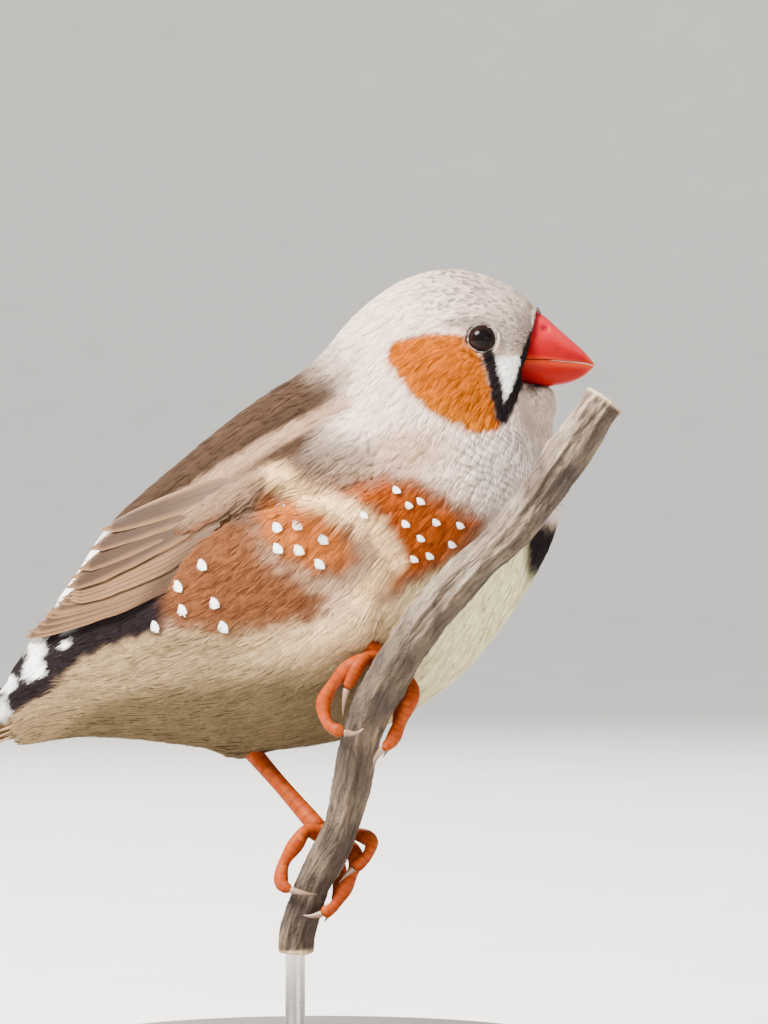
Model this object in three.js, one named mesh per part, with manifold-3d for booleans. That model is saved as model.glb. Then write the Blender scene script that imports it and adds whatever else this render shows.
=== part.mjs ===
// A life-size male zebra finch that grips a short cut length of branch on a small round stand.
// Millimetres, +Z up. The bird looks along +X and its middle plane is Y = 0, with its right side
// at -Y. The origin is the centre of the stand's underside.

import * as THREE from "three";
import { mergeVertices } from "three/addons/utils/BufferGeometryUtils.js";
import Module from "manifold-3d";

const wasm = await Module();
wasm.setup();

// Sizes that drive the rest
const GAP = 0.3; // clearance between neighbouring pieces
const RIGHT = -1;
const LEFT = 1;
const VANE = 0.5; // thickness of a feather vane
const BASE_RADIUS = 34;
const BASE_HEIGHT = 5;
const ROD_RADIUS = 1.3;
const PERCH_FOOT_Z = 17;
const EYE = { at: [22.9, 96.8], radius: 1.95, sunk: 0.95, lidRadius: 1.95, lid: 0.4, lidLift: 0.05 };
const BODY_SIDES = 28;
const EGG = 0.1; // how much wider the torso is below its middle than above it
const THROAT = 0.72; // how blunt the throat is: 1 is an ellipse, less is fuller

// The body in profile, from the bill's root to the tail's root: the point on the back (x, z),
// the point on the belly (x, z) and half the width there.
const BODY = [
  { back: [29.5, 100.4], belly: [28.6, 90.4], half: 3.8 }, // bill root
  { back: [27.6, 102.7], belly: [28.9, 89.1], half: 5.7 }, // forehead
  { back: [25.0, 104.5], belly: [29.4, 87.4], half: 7.0 }, // lores
  { back: [20.8, 106.1], belly: [29.8, 85.6], half: 8.1 }, // eye
  { back: [16.0, 106.5], belly: [30.4, 83.4], half: 8.8 }, // crown and cheek
  { back: [10.4, 104.9], belly: [31.4, 80.9], half: 9.5 }, // nape and throat
  { back: [4.6, 100.6], belly: [32.2, 77.8], half: 10.9 }, // neck
  { back: [-1.2, 94.1], belly: [32.2, 74.0], half: 12.9 }, // shoulders
  { back: [-8.0, 89.8], belly: [30.6, 69.2], half: 14.5 }, // upper breast
  { back: [-14.0, 85.4], belly: [27.0, 62.9], half: 15.3 }, // breast
  { back: [-20.0, 80.5], belly: [20.0, 53.8], half: 15.5 }, // widest
  { back: [-25.2, 76.2], belly: [10.5, 46.8], half: 15.0 }, // belly
  { back: [-29.2, 72.2], belly: [-1.0, 43.2], half: 13.6 }, // lower back
  { back: [-32.4, 67.3], belly: [-13.0, 42.7], half: 11.4 }, // rump
  { back: [-35.4, 63.1], belly: [-24.0, 43.9], half: 9.0 }, // vent
  { back: [-38.4, 58.6], belly: [-32.5, 44.2], half: 6.8 }, // tail coverts
  { back: [-42.3, 52.8], belly: [-40.3, 43.0], half: 4.8 }, // tail root
];
const HEAD_END = 5.5; // where the head is parted from the neck, counted in sections
const NECK_END = 7.4;
const TAIL_ROOT = BODY.length - 1;

// The branch, from its lower cut end up: x, y, z and its radius there
const BRANCH = [
  { at: [-1.7, -8.5, PERCH_FOOT_Z], radius: 2.5 },
  { at: [-1.6, -8.6, 18.6], radius: 2.5 },
  { at: [0.9, -9.8, 25.8], radius: 2.6 },
  { at: [4.5, -11.2, 32.8], radius: 2.8 },
  { at: [6.9, -12.8, 40.6], radius: 2.9 },
  { at: [8.6, -14.0, 47.0], radius: 2.85 },
  { at: [11.8, -16.5, 52.6], radius: 2.95 },
  { at: [15.6, -17.5, 58.6], radius: 3.0 },
  { at: [21.3, -17.6, 65.5], radius: 2.85 },
  { at: [28.4, -16.6, 72.4], radius: 2.9 },
  { at: [36.3, -14.4, 83.8], radius: 3.0 },
  { at: [39.7, -13.4, 88.7], radius: 3.05 },
];

// General helpers
const radians = THREE.MathUtils.degToRad;
const vector = (x, y, z) => new THREE.Vector3(x, y, z);

function smooth(low, high, value) {
  return THREE.MathUtils.smoothstep(value, low, high);
}

// Value of a table of [place, value] rows at a place, straight between its rows.
function tabled(rows, place) {
  const last = rows.length - 1;
  if (place <= rows[0][0]) return rows[0][1];
  if (place >= rows[last][0]) return rows[last][1];
  const next = rows.findIndex((row) => row[0] > place);
  const [from, low] = rows[next - 1];
  const [to, high] = rows[next];
  return THREE.MathUtils.mapLinear(place, from, to, low, high);
}

// A closed geometry through rings of points with equal counts, both ends capped. The quads of the
// turned sides are split along their other diagonal.
function loft(rings, turned = []) {
  const sides = rings[0].length;
  const points = rings.flat();
  const faces = [];
  for (let r = 0; r < rings.length - 1; r++) {
    for (let k = 0; k < sides; k++) {
      const a = r * sides + k;
      const b = r * sides + ((k + 1) % sides);
      if (turned.includes(k)) faces.push(a, b, a + sides, b, b + sides, a + sides);
      else faces.push(a, b, b + sides, a, b + sides, a + sides);
    }
  }
  const cap = (ring, outward) => {
    const middle = rings[ring].reduce((sum, p) => sum.add(p), vector(0, 0, 0));
    points.push(middle.divideScalar(sides));
    const hub = points.length - 1;
    for (let k = 0; k < sides; k++) {
      const a = ring * sides + k;
      const b = ring * sides + ((k + 1) % sides);
      if (outward) faces.push(hub, a, b);
      else faces.push(hub, b, a);
    }
  };
  cap(0, false);
  cap(rings.length - 1, true);
  const geometry = new THREE.BufferGeometry().setFromPoints(points);
  geometry.setIndex(faces);
  return geometry;
}

// A three.js geometry as a solid, turned face out.
function solid(geometry) {
  const bare = geometry.clone();
  for (const name of Object.keys(bare.attributes)) {
    if (name !== "position") bare.deleteAttribute(name);
  }
  const merged = mergeVertices(bare, 1e-4);
  const triVerts = new Uint32Array(merged.index.array);
  const vertProperties = merged.attributes.position.array;
  const made = new wasm.Manifold(new wasm.Mesh({ numProp: 3, vertProperties, triVerts }));
  if (made.volume() > 0) return made;
  for (let i = 0; i < triVerts.length; i += 3) {
    [triVerts[i + 1], triVerts[i + 2]] = [triVerts[i + 2], triVerts[i + 1]];
  }
  return new wasm.Manifold(new wasm.Mesh({ numProp: 3, vertProperties, triVerts }));
}

// The largest closed surface of a solid, so that a cut leaves no scrap.
function largest(made) {
  const bodies = made.decompose();
  return bodies.reduce((best, body) => (body.volume() > best.volume() ? body : best));
}

function joined(pieces) {
  return pieces.reduce((sum, piece) => sum.add(piece));
}

function geometryOf(made) {
  const mesh = largest(made).getMesh();
  const geometry = new THREE.BufferGeometry();
  geometry.setAttribute("position", new THREE.BufferAttribute(mesh.vertProperties.slice(), 3));
  geometry.setIndex(new THREE.BufferAttribute(mesh.triVerts.slice(), 1));
  geometry.computeVertexNormals();
  return geometry;
}

function ellipsoid(center, radii, across = 16, down = 10) {
  return solid(
    new THREE.SphereGeometry(1, across, down).scale(...radii).translate(...center),
  );
}

// A round tapering tube along points, with a radius for each share of its length.
function tube(points, radiusAt, rings, sides) {
  const curve = new THREE.CatmullRomCurve3(points, false, "centripetal");
  const frames = curve.computeFrenetFrames(rings, false);
  const made = [];
  for (let r = 0; r <= rings; r++) {
    const middle = curve.getPointAt(r / rings);
    const radius = radiusAt(r / rings);
    made.push(
      Array.from({ length: sides }, (_, k) => {
        const turn = (2 * Math.PI * k) / sides;
        return middle
          .clone()
          .addScaledVector(frames.normals[r], radius * Math.cos(turn))
          .addScaledVector(frames.binormals[r], radius * Math.sin(turn));
      }),
    );
  }
  return solid(loft(made));
}

// A thin blade along a line of points, with the surface normal, the half width and the lift of
// its right edge over its left one at each point. Both faces are split alike.
function blade(points, normals, halves, thickness, tilt) {
  const rings = points.map((point, k) => {
    const before = points[Math.max(k - 1, 0)];
    const after = points[Math.min(k + 1, points.length - 1)];
    const along = after.clone().sub(before).normalize();
    const across = new THREE.Vector3().crossVectors(normals[k], along).normalize();
    const corner = (side, height) =>
      point
        .clone()
        .addScaledVector(across, side * halves[k])
        .addScaledVector(normals[k], height + side * tilt);
    const half = thickness / 2;
    return [corner(-1, -half), corner(1, -half), corner(1, half), corner(-1, half)];
  });
  return solid(loft(rings, [2]));
}

// Half widths of a feather that widens from its root and rounds off at its tip.
function featherHalves(count, half) {
  return Array.from({ length: count }, (_, k) => {
    const share = k / (count - 1);
    const root = 0.55 + 0.45 * smooth(0, 0.4, share);
    const tip = Math.sqrt(Math.max(0.02, 1 - Math.pow(share, 5)));
    return half * root * tip;
  });
}

// The body's surface: a place counted in sections, an angle from the back (0) to the belly (180),
// a side and a lift outwards.
const backLine = new THREE.CatmullRomCurve3(BODY.map((s) => vector(s.back[0], 0, s.back[1])));
const bellyLine = new THREE.CatmullRomCurve3(BODY.map((s) => vector(s.belly[0], 0, s.belly[1])));
const widthLine = new THREE.CatmullRomCurve3(BODY.map((s, k) => vector(k, s.half, 0)));

function sectionAt(place) {
  const share = THREE.MathUtils.clamp(place / TAIL_ROOT, 0, 1);
  const back = backLine.getPoint(share);
  const belly = bellyLine.getPoint(share);
  const half = widthLine.getPoint(share).y;
  return { middle: back.clone().add(belly).divideScalar(2), up: back.sub(belly).divideScalar(2), half };
}

function surfacePoint(place, degrees, side, grow = 0) {
  const { middle, up, half } = sectionAt(place);
  const turn = radians(degrees);
  const egg = EGG * smooth(5, 9, place);
  const reach = 1 + grow / up.length();
  const belly = Math.max(0, -Math.cos(turn)) * (1 - smooth(5, 7.5, place));
  const blunt = Math.pow(Math.abs(Math.sin(turn)), 1 - (1 - THROAT) * smooth(0, 0.4, belly));
  const round = Math.sign(Math.sin(turn)) * blunt * (1 - egg * Math.cos(turn));
  const across = side * (half + grow) * round;
  return middle.addScaledVector(up, reach * Math.cos(turn)).setY(across);
}

function surfaceNormal(place, degrees, side) {
  const step = 0.05;
  const fore = surfacePoint(place - step, degrees, side);
  const along = surfacePoint(place + step, degrees, side).sub(fore);
  const above = surfacePoint(place, degrees - 1, side);
  const round = surfacePoint(place, degrees + 1, side).sub(above);
  return new THREE.Vector3().crossVectors(round, along).multiplyScalar(side).normalize();
}

function lifted(place, degrees, side, lift) {
  return surfacePoint(place, degrees, side).addScaledVector(surfaceNormal(place, degrees, side), lift);
}

function bodyLength(from, to, rings, grow = 0) {
  const made = [];
  for (let r = 0; r <= rings; r++) {
    const place = from + ((to - from) * r) / rings;
    made.push(
      Array.from({ length: BODY_SIDES }, (_, k) =>
        surfacePoint(place, (360 * k) / BODY_SIDES, 1, grow),
      ),
    );
  }
  return solid(loft(made));
}

// The place and the angle of the point of the surface that is seen from the side at (x, z).
function seenAt(x, z) {
  let front = 0;
  let rear = TAIL_ROOT;
  for (let k = 0; k < 22; k++) {
    const place = (front + rear) / 2;
    const { middle, up } = sectionAt(place);
    const ahead = up.z * (x - middle.x) - up.x * (z - middle.z) > 0;
    if (ahead) rear = place;
    else front = place;
  }
  const { middle, up } = sectionAt(front);
  const height = ((x - middle.x) * up.x + (z - middle.z) * up.z) / up.lengthSq();
  const degrees = THREE.MathUtils.radToDeg(Math.acos(THREE.MathUtils.clamp(height, -0.995, 0.995)));
  return { place: front, degrees };
}

function onSide([x, z], side, lift) {
  const { place, degrees } = seenAt(x, z);
  return lifted(place, degrees, side, lift);
}

function normalOnSide([x, z], side) {
  const { place, degrees } = seenAt(x, z);
  return surfaceNormal(place, degrees, side);
}

const mix = (a, b, share) => a.map((value, k) => value + (b[k] - value) * share);

function edgeLine(rows) {
  const curve = new THREE.CatmullRomCurve3(rows.map(([x, z]) => vector(x, 0, z)), false, "centripetal");
  return (share) => {
    const point = curve.getPointAt(share);
    return [point.x, point.z];
  };
}

// A closed patch on the body's side between two edges seen from the side. The lifts of its inner
// and outer face are functions of the shares across and along it.
function sidePatch(top, bottom, inner, outer, side, steps, cross) {
  const rings = [];
  for (let r = 0; r <= steps; r++) {
    const along = r / steps;
    const ring = [];
    for (let k = 0; k <= cross; k++) {
      ring.push(onSide(mix(top(along), bottom(along), k / cross), side, inner(k / cross, along)));
    }
    for (let k = cross; k >= 0; k--) {
      ring.push(onSide(mix(top(along), bottom(along), k / cross), side, outer(k / cross, along)));
    }
    rings.push(ring);
  }
  return solid(loft(rings));
}

// A feather on the body's side, from a root to a tip, each [x, z, lift].
function sideFeather(side, root, tip, half, tilt, steps = 5) {
  const points = [];
  const normals = [];
  for (let k = 0; k <= steps; k++) {
    const [x, z, lift] = mix(root, tip, k / steps);
    points.push(onSide([x, z], side, lift));
    normals.push(normalOnSide([x, z], side));
  }
  return blade(points, normals, featherHalves(steps + 1, half), VANE, tilt * side);
}

// Materials
const paint = (color, roughness = 0.8, metalness = 0) =>
  new THREE.MeshStandardMaterial({ color, roughness, metalness });
const materials = {
  grey: paint(0xb5aeaa),
  brown: paint(0xa08b76),
  chestnut: paint(0xb8653a),
  cream: paint(0xe2d5bd),
  dark: paint(0x2c2624),
  bill: paint(0xe8452f, 0.35),
  eye: paint(0x1d100c, 0.08),
  leg: paint(0xe57c4c, 0.6),
  bark: paint(0x8d7a66, 0.9),
  base: paint(0x6b4a30, 0.5),
  rod: paint(0xb9b4aa, 0.3, 1),
};

const finch = new THREE.Group();
finch.name = "zebra_finch";

function add(name, made, material) {
  const mesh = new THREE.Mesh(geometryOf(made), material);
  mesh.name = name;
  finch.add(mesh);
}

// Bill: each half is a row of arches from a root sunk in the face to the tip.
const CULMEN = [[27.2, 101.0], [29.4, 100.15], [31.4, 98.45], [33.4, 96.7], [35.1, 95.15], [36.4, 93.6]];
const TOMIUM = [[25.6, 94.0], [27.9, 94.2], [30.3, 94.2], [32.6, 94.0], [34.7, 93.8], [36.35, 93.45]];
const GONYS = [[25.0, 91.0], [27.4, 90.9], [30.0, 90.7], [32.6, 91.0], [34.8, 91.9], [36.1, 93.0]];
const BILL_HALVES = [3.4, 3.5, 3.15, 2.4, 1.4, 0.2];
const ARCH_SIDES = 10;
const BILL_RINGS = 12;

function billHalf(edge, ridge, drop, narrow, grow) {
  const lineOf = (rows) => new THREE.CatmullRomCurve3(rows.map(([x, z]) => vector(x, 0, z)));
  const edgeLine = lineOf(edge);
  const ridgeLine = lineOf(ridge);
  const halfLine = new THREE.CatmullRomCurve3(BILL_HALVES.map((half, k) => vector(k, half * narrow, 0)));
  const rings = [];
  for (let r = 0; r <= BILL_RINGS; r++) {
    const share = r / BILL_RINGS;
    const low = edgeLine.getPoint(share).add(vector(0, 0, drop));
    const rise = ridgeLine.getPoint(share).sub(low);
    low.addScaledVector(rise, -grow / Math.max(rise.length(), 0.4));
    const reach = 1 + (2 * grow) / Math.max(rise.length(), 0.4);
    const half = Math.max(0.12, halfLine.getPoint(share).y) + grow;
    rings.push(
      Array.from({ length: ARCH_SIDES + 1 }, (_, k) => {
        const turn = (Math.PI * k) / ARCH_SIDES;
        const height = Math.pow(Math.max(0, Math.sin(turn)), 0.85);
        return low.clone().addScaledVector(rise, reach * height).setY(half * Math.cos(turn));
      }),
    );
  }
  return solid(loft(rings));
}

const MOUTH_GAP = -GAP;
const LOWER_SHARE = 0.92; // the lower half's width as a share of the upper one's
const nostril = (side) => ellipsoid([30.6, side * 2.15, 98.5], [0.7, 0.5, 0.5], 10, 6);
const upperBill = billHalf(TOMIUM, CULMEN, 0, 1, 0)
  .subtract(nostril(RIGHT))
  .subtract(nostril(LEFT));
const lowerBill = billHalf(TOMIUM, GONYS, MOUTH_GAP, LOWER_SHARE, 0);
const billSocket = billHalf(TOMIUM, CULMEN, 0, 1, GAP).add(
  billHalf(TOMIUM, GONYS, MOUTH_GAP, LOWER_SHARE, GAP),
);
add("bill_upper", upperBill, materials.bill);
add("bill_lower", lowerBill, materials.bill);

// Head: the front of the body with a full chin and throat and a ring of lids round each eye
const CHIN = { center: [27.4, 0, 87.6], radii: [4.4, 6.0, 4.0] };
const THROAT_FILL = { center: [27.3, 0, 83.8], radii: [4.1, 6.4, 4.8] };
const CHIN_ROOM = 5; // how far out of the neck its length cuts the chin and throat off

// Where the eye sits on the head's surface, and the way it looks
function eyeSeat(side) {
  return { point: onSide(EYE.at, side, 0), normal: normalOnSide(EYE.at, side) };
}

function lidRing(side) {
  const { point, normal } = eyeSeat(side);
  const facing = new THREE.Quaternion().setFromUnitVectors(vector(0, 0, 1), normal);
  const center = point.addScaledVector(normal, EYE.lidLift);
  const ring = new THREE.TorusGeometry(EYE.lidRadius, EYE.lid, 6, 18)
    .applyQuaternion(facing)
    .translate(...center.toArray());
  return solid(ring);
}

function eyeBall(side, grow) {
  const { point, normal } = eyeSeat(side);
  const center = point.addScaledVector(normal, -EYE.sunk);
  return ellipsoid(center.toArray(), Array(3).fill(EYE.radius + grow), 16, 10);
}

const chin = ellipsoid(CHIN.center, CHIN.radii, 16, 10)
  .add(ellipsoid(THROAT_FILL.center, THROAT_FILL.radii, 16, 10))
  .subtract(bodyLength(HEAD_END, NECK_END, 3, CHIN_ROOM));
const head = joined([bodyLength(0, HEAD_END, 12), chin, lidRing(RIGHT), lidRing(LEFT)])
  .subtract(billSocket)
  .subtract(eyeBall(RIGHT, GAP))
  .subtract(eyeBall(LEFT, GAP));
add("head", head, materials.grey);
add("eye_right", eyeBall(RIGHT, 0), materials.eye);
add("eye_left", eyeBall(LEFT, 0), materials.eye);

// Neck, and torso with the fluffed flanks that stand up to the wings' lower edges
const PARTING = 0.045; // a share of a section, about a gap's width where the parts meet
const torsoGrown = bodyLength(NECK_END, TAIL_ROOT, 24, GAP);
const FLANK_LIFT = 2.3;
const FLANK_SUNK = -1.2;

// Where the wing's feathers go under those of the flank, seen from the side: x, z
const SEAM = [[9.6, 78.0], [4.5, 75.8], [-1, 75.3], [-8, 73.0], [-14, 69.4], [-18.5, 63.2]];
const raised = (rows, rise) => rows.map(([x, z]) => [x, z + rise]);
const flankTop = edgeLine([[17, 76.5], ...raised(SEAM, -0.45), [-24, 59.2]]);
const flankBottom = edgeLine([[20, 73.0], [10, 64.5], [-1, 58.5], [-12, 55.2], [-24, 55.5]]);

function flank(side) {
  const outer = (across, along) => {
    const swell = Math.sin(Math.PI * Math.pow(along, 0.8));
    return FLANK_LIFT * swell * Math.pow(Math.cos((across * Math.PI) / 2), 1.3) - 0.2;
  };
  return sidePatch(flankTop, flankBottom, () => FLANK_SUNK, outer, side, 14, 5);
}

const torso = joined([bodyLength(NECK_END + PARTING, TAIL_ROOT, 24), flank(RIGHT), flank(LEFT)]);
add("neck", bodyLength(HEAD_END + PARTING, NECK_END - PARTING, 5), materials.grey);
add("torso", torso, materials.brown);

// Wings: a thin folded arm with its feathers in tiers, all fused at their roots
const armTop = edgeLine([[8.2, 86.4], [2, 83.9], [-6, 80.0], [-14, 76.0], [-20, 73.4]]);
const armBottom = edgeLine([...raised(SEAM.slice(0, 5), 0.3), [-16.6, 66.6]]);
const ARM_LIFT = 1.3;

// Each tier of feathers: its first and last root and tip as [x, z, lift], from the back down
const WING_TIERS = [
  { count: 7, half: 1.7, tilt: -0.12, steps: 4, // primaries, the outermost the longest
    roots: [[-14.5, 68.8, 1.0], [-16.5, 64.8, 0.7]], tips: [[-33.0, 62.6, 1.3], [-39.0, 57.2, 0.9]] },
  { count: 4, half: 2.0, tilt: -0.14, steps: 4, // secondaries
    roots: [[-9.0, 75.6, 1.0], [-13.5, 69.6, 1.0]], tips: [[-31.4, 65.0, 1.5], [-31.0, 62.4, 1.3]] },
  { count: 3, half: 2.5, tilt: -0.18, steps: 4, // tertials
    roots: [[-5.0, 80.2, 1.1], [-9.0, 75.8, 1.1]], tips: [[-27.0, 71.4, 1.7], [-31.6, 64.0, 1.7]] },
  { count: 5, half: 2.0, tilt: -0.1, steps: 3, // greater coverts
    roots: [[-0.5, 82.0, 1.0], [-4.0, 75.8, 1.0]], tips: [[-10.5, 77.6, 1.8], [-11.4, 73.2, 1.6]] },
  { count: 3, half: 2.5, tilt: -0.1, steps: 3, // median coverts
    roots: [[4.0, 83.8, 0.9], [2.0, 77.6, 0.9]], tips: [[-4.0, 80.6, 1.8], [-4.5, 76.6, 1.7]] },
  { count: 2, half: 3.0, tilt: -0.1, steps: 3, // lesser coverts
    roots: [[7.2, 85.0, 0.7], [7.6, 79.4, 0.7]], tips: [[1.2, 82.8, 1.6], [0.8, 78.0, 1.5]] },
];

function wing(side) {
  const armOuter = (across, along) =>
    GAP + 0.5 + (ARM_LIFT - 0.5) * Math.sin(Math.PI * (0.15 + 0.7 * across)) * (1 - 0.4 * along);
  const arm = sidePatch(armTop, armBottom, () => GAP + 0.1, armOuter, side, 10, 5);
  const feathers = WING_TIERS.flatMap(({ count, half, tilt, steps, roots, tips }) =>
    Array.from({ length: count }, (_, k) => {
      const share = k / (count - 1);
      return sideFeather(side, mix(...roots, share), mix(...tips, share), half, tilt, steps);
    }),
  );
  return joined([arm, ...feathers]).subtract(torso).subtract(torsoGrown);
}

add("wing_right", wing(RIGHT), materials.brown);
add("wing_left", wing(LEFT), materials.brown);

// Tail: a tapering root, twelve rectrices in a closed fan, and the coverts over and under them
const TAIL = { root: vector(-41.4, 0, 47.8), pitch: 33, length: 19, coreLength: 9 };
const tailBack = vector(-Math.cos(radians(TAIL.pitch)), 0, -Math.sin(radians(TAIL.pitch)));
const tailUp = vector(-Math.sin(radians(TAIL.pitch)), 0, Math.cos(radians(TAIL.pitch)));
const RECTRICES = 6; // on each side
const COVERTS = 3; // over and under the root, on each side

function tailPoint(back, across, up) {
  return TAIL.root
    .clone()
    .addScaledVector(tailBack, back)
    .addScaledVector(tailUp, up)
    .setY(across);
}

// A tail feather between two distances back from the tail's root
function tailFeather(from, to, across, spread, up, drop, half) {
  const steps = 4;
  const points = [];
  const normals = [];
  for (let k = 0; k <= steps; k++) {
    const share = k / steps;
    points.push(tailPoint(from + (to - from) * share, across + spread * share, up + drop * share));
    normals.push(tailUp);
  }
  return blade(points, normals, featherHalves(steps + 1, half), VANE, 0);
}

function tail() {
  const rings = [];
  const coreRings = 6;
  const coreSides = 16;
  const { middle, up, half } = sectionAt(TAIL_ROOT);
  for (let r = 0; r <= coreRings; r++) {
    const share = r / coreRings;
    const shrink = 1 - 0.72 * share;
    const center = middle.clone().addScaledVector(tailBack, GAP + TAIL.coreLength * share);
    center.addScaledVector(tailUp, 0.6 * share);
    rings.push(
      Array.from({ length: coreSides }, (_, k) => {
        const turn = (2 * Math.PI * k) / coreSides;
        const across = half * (1 - 0.3 * share) * Math.sin(turn);
        return center.clone().addScaledVector(up, shrink * Math.cos(turn)).setY(across);
      }),
    );
  }
  const feathers = [];
  for (const side of [RIGHT, LEFT]) {
    for (let k = 0; k < RECTRICES; k++) {
      const reach = TAIL.length - 0.042 * k * k;
      const across = side * (0.55 + 0.35 * k);
      feathers.push(tailFeather(3, reach, across, side * 0.22 * k, 0.9 - 0.3 * k, 0, 1.95));
    }
    for (let k = 0; k < COVERTS; k++) {
      const drawn = -side * 0.3;
      const over = { from: 2.4 + 0.3 * k, to: 10.5 - 1.6 * k, across: side * (0.9 + 1.25 * k) };
      feathers.push(tailFeather(over.from, over.to, over.across, drawn, 3.1 - 0.9 * k, -1.8, 1.6));
      const below = { from: 1.6, to: 9.5 - 1.2 * k, across: side * (0.8 + 1.2 * k) };
      feathers.push(tailFeather(below.from, below.to, below.across, drawn, -2.9 + 0.5 * k, 1.9, 1.6));
    }
  }
  return joined([solid(loft(rings)), ...feathers]);
}

add("tail", tail(), materials.dark);

// Perch: the cut branch, a little uneven along its length
const branchLine = new THREE.CatmullRomCurve3(BRANCH.map((b) => vector(...b.at)));
const branchLength = branchLine.getLength();
const branchRadii = BRANCH.map((b, k) => [k / (BRANCH.length - 1), b.radius]);

function branchRadius(share) {
  const knots = 0.1 * Math.sin(17 * share) + 0.07 * Math.sin(41 * share + 1);
  return tabled(branchRadii, share) + knots;
}

function branch(grow) {
  const rings = 38;
  const sides = 10;
  return tube(BRANCH.map((b) => vector(...b.at)), (share) => branchRadius(share) + grow, rings, sides);
}

// A point round the branch: a height along it in millimetres, an angle (0 towards the viewer at
// the right of the bird, 90 to the bird's rear) and a distance out from the bark.
const VIEW = vector(Math.sin(radians(10)), -Math.cos(radians(10)), 0);

function aroundBranch(along, degrees, out) {
  const share = THREE.MathUtils.clamp(along / branchLength, 0, 1);
  const middle = branchLine.getPointAt(share);
  const up = branchLine.getTangentAt(share);
  const front = VIEW.clone().addScaledVector(up, -VIEW.dot(up)).normalize();
  const rear = new THREE.Vector3().crossVectors(front, up).normalize();
  const turn = radians(degrees);
  const reach = branchRadius(share) + out;
  return middle
    .addScaledVector(front, reach * Math.cos(turn))
    .addScaledVector(rear, reach * Math.sin(turn));
}

// Toes: each row is [angle round the branch, height from the foot's place, distance from the bark]
const TOE_RADIUS = 1.0;
const CLAW_RADIUS = 0.5;

function toe(foot, rows, clawRows) {
  const points = rows.map(([degrees, rise, out]) =>
    aroundBranch(foot.along + rise, degrees, out + GAP + TOE_RADIUS),
  );
  const joints = (share) => TOE_RADIUS * (1.12 - 0.25 * share + 0.1 * Math.cos(6 * Math.PI * share));
  const flesh = tube(points, joints, 10, 6);
  const clawPoints = [points[points.length - 1]].concat(
    clawRows.map(([degrees, rise, out]) => aroundBranch(foot.along + rise, degrees, out + GAP + 0.3)),
  );
  const claw = tube(clawPoints, (share) => CLAW_RADIUS * (1 - 0.82 * share), 4, 5);
  return flesh.add(claw);
}

// The upper foot is the right one and the lower foot the left one. In both some toes go round the
// branch on the side of the bird's rear and the others round its other side.
const FEET = {
  right: {
    along: 41.8,
    pad: [168, -2.0],
    toes: [
      {
        rows: [
          [166, -2.0, 0.2], [132, -2.2, 0.7], [106, -3.6, 1.0], [96, -6.4, 1.8],
          [86, -8.8, 1.9], [62, -10.2, 0.9], [34, -10.2, 0],
        ],
        claw: [[12, -9.6, 0.3], [0, -8.4, -0.1]],
      },
      {
        rows: [
          [186, -2.0, 0.2], [232, -2.6, 0.1], [260, -4.6, 0], [276, -7.6, 0],
          [294, -10.0, 0.1], [314, -11.4, 0],
        ],
        claw: [[322, -13.0, 0.3], [316, -14.6, -0.1]],
      },
      {
        rows: [[184, -2.4, 0.2], [222, -4.8, 0.1], [246, -7.6, 0.1], [262, -10.0, 0]],
        claw: [[274, -11.8, 0.3], [282, -13.2, -0.1]],
      },
      {
        rows: [[170, -1.8, 0.2], [134, -1.6, 0.5], [106, -3.2, 0.3], [88, -6.0, 0]],
        claw: [[80, -7.8, 0.2], [72, -9.0, -0.1]],
      },
    ],
  },
  left: {
    along: 16.6,
    pad: [152, -1.4],
    toes: [
      {
        rows: [
          [148, -1.6, 0.2], [114, -1.6, 0.5], [98, -3.4, 0.6], [88, -6.2, 0.9],
          [68, -8.0, 0.5], [42, -8.0, 0],
        ],
        claw: [[12, -7.6, 0.3], [-16, -7.3, -0.1]],
      },
      {
        rows: [
          [170, -1.4, 0.2], [216, -1.4, 0.2], [250, -2.2, 0.1], [268, -4.2, 0.2],
          [280, -6.6, 0.2], [298, -8.6, 0.1], [322, -9.6, 0],
        ],
        claw: [[342, -10.3, 0.3], [360, -10.6, -0.1]],
      },
      {
        rows: [[168, -1.0, 0.2], [216, 0.4, 0.4], [250, 0.6, 0.9], [266, -0.6, 0.8], [270, -2.6, 0]],
        claw: [[274, -4.0, 0.2], [280, -5.2, -0.1]],
      },
      {
        rows: [[166, -1.8, 0.2], [208, -4.0, 0.1], [238, -6.6, 0.1], [254, -8.8, 0]],
        claw: [[266, -10.4, 0.3], [276, -11.4, -0.1]],
      },
    ],
  },
};

// Where each leg leaves the body, and the tuft of thigh feathers round it
const LEGS = {
  right: { from: onSide([6.6, 60.0], RIGHT, -0.6), tuft: [4.0, 2.4, 3.8] },
  left: { from: vector(-10.6, -0.4, 44.4), tuft: [4.6, 4.2, 3.0] },
};
const SHANK_RADIUS = 1.1;
const PAD_RADIUS = 1.35;
const branchGrown = branch(GAP);
add("perch", branch(0), materials.bark);

for (const name of ["right", "left"]) {
  const foot = FEET[name];
  const { from, tuft } = LEGS[name];
  const [behind, rise] = foot.pad;
  const sole = aroundBranch(foot.along + rise, behind, GAP + PAD_RADIUS);
  const pad = ellipsoid(sole.toArray(), Array(3).fill(PAD_RADIUS), 12, 8);
  const thigh = (grow) => ellipsoid(from.toArray(), tuft.map((radius) => radius + grow), 18, 12);
  const shank = tube(
    [from, from.clone().lerp(sole, 0.5), sole],
    (share) => SHANK_RADIUS * (1.2 - 0.35 * Math.sin(Math.PI * share)),
    9,
    9,
  );
  const toes = foot.toes.map(({ rows, claw }) => toe(foot, rows, claw));
  const clear = (made) => made.subtract(torsoGrown).subtract(branchGrown);
  add("leg_" + name, clear(joined([shank, pad, ...toes])).subtract(thigh(GAP)), materials.leg);
  add("thigh_" + name, clear(thigh(0)), materials.cream);
}

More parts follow.
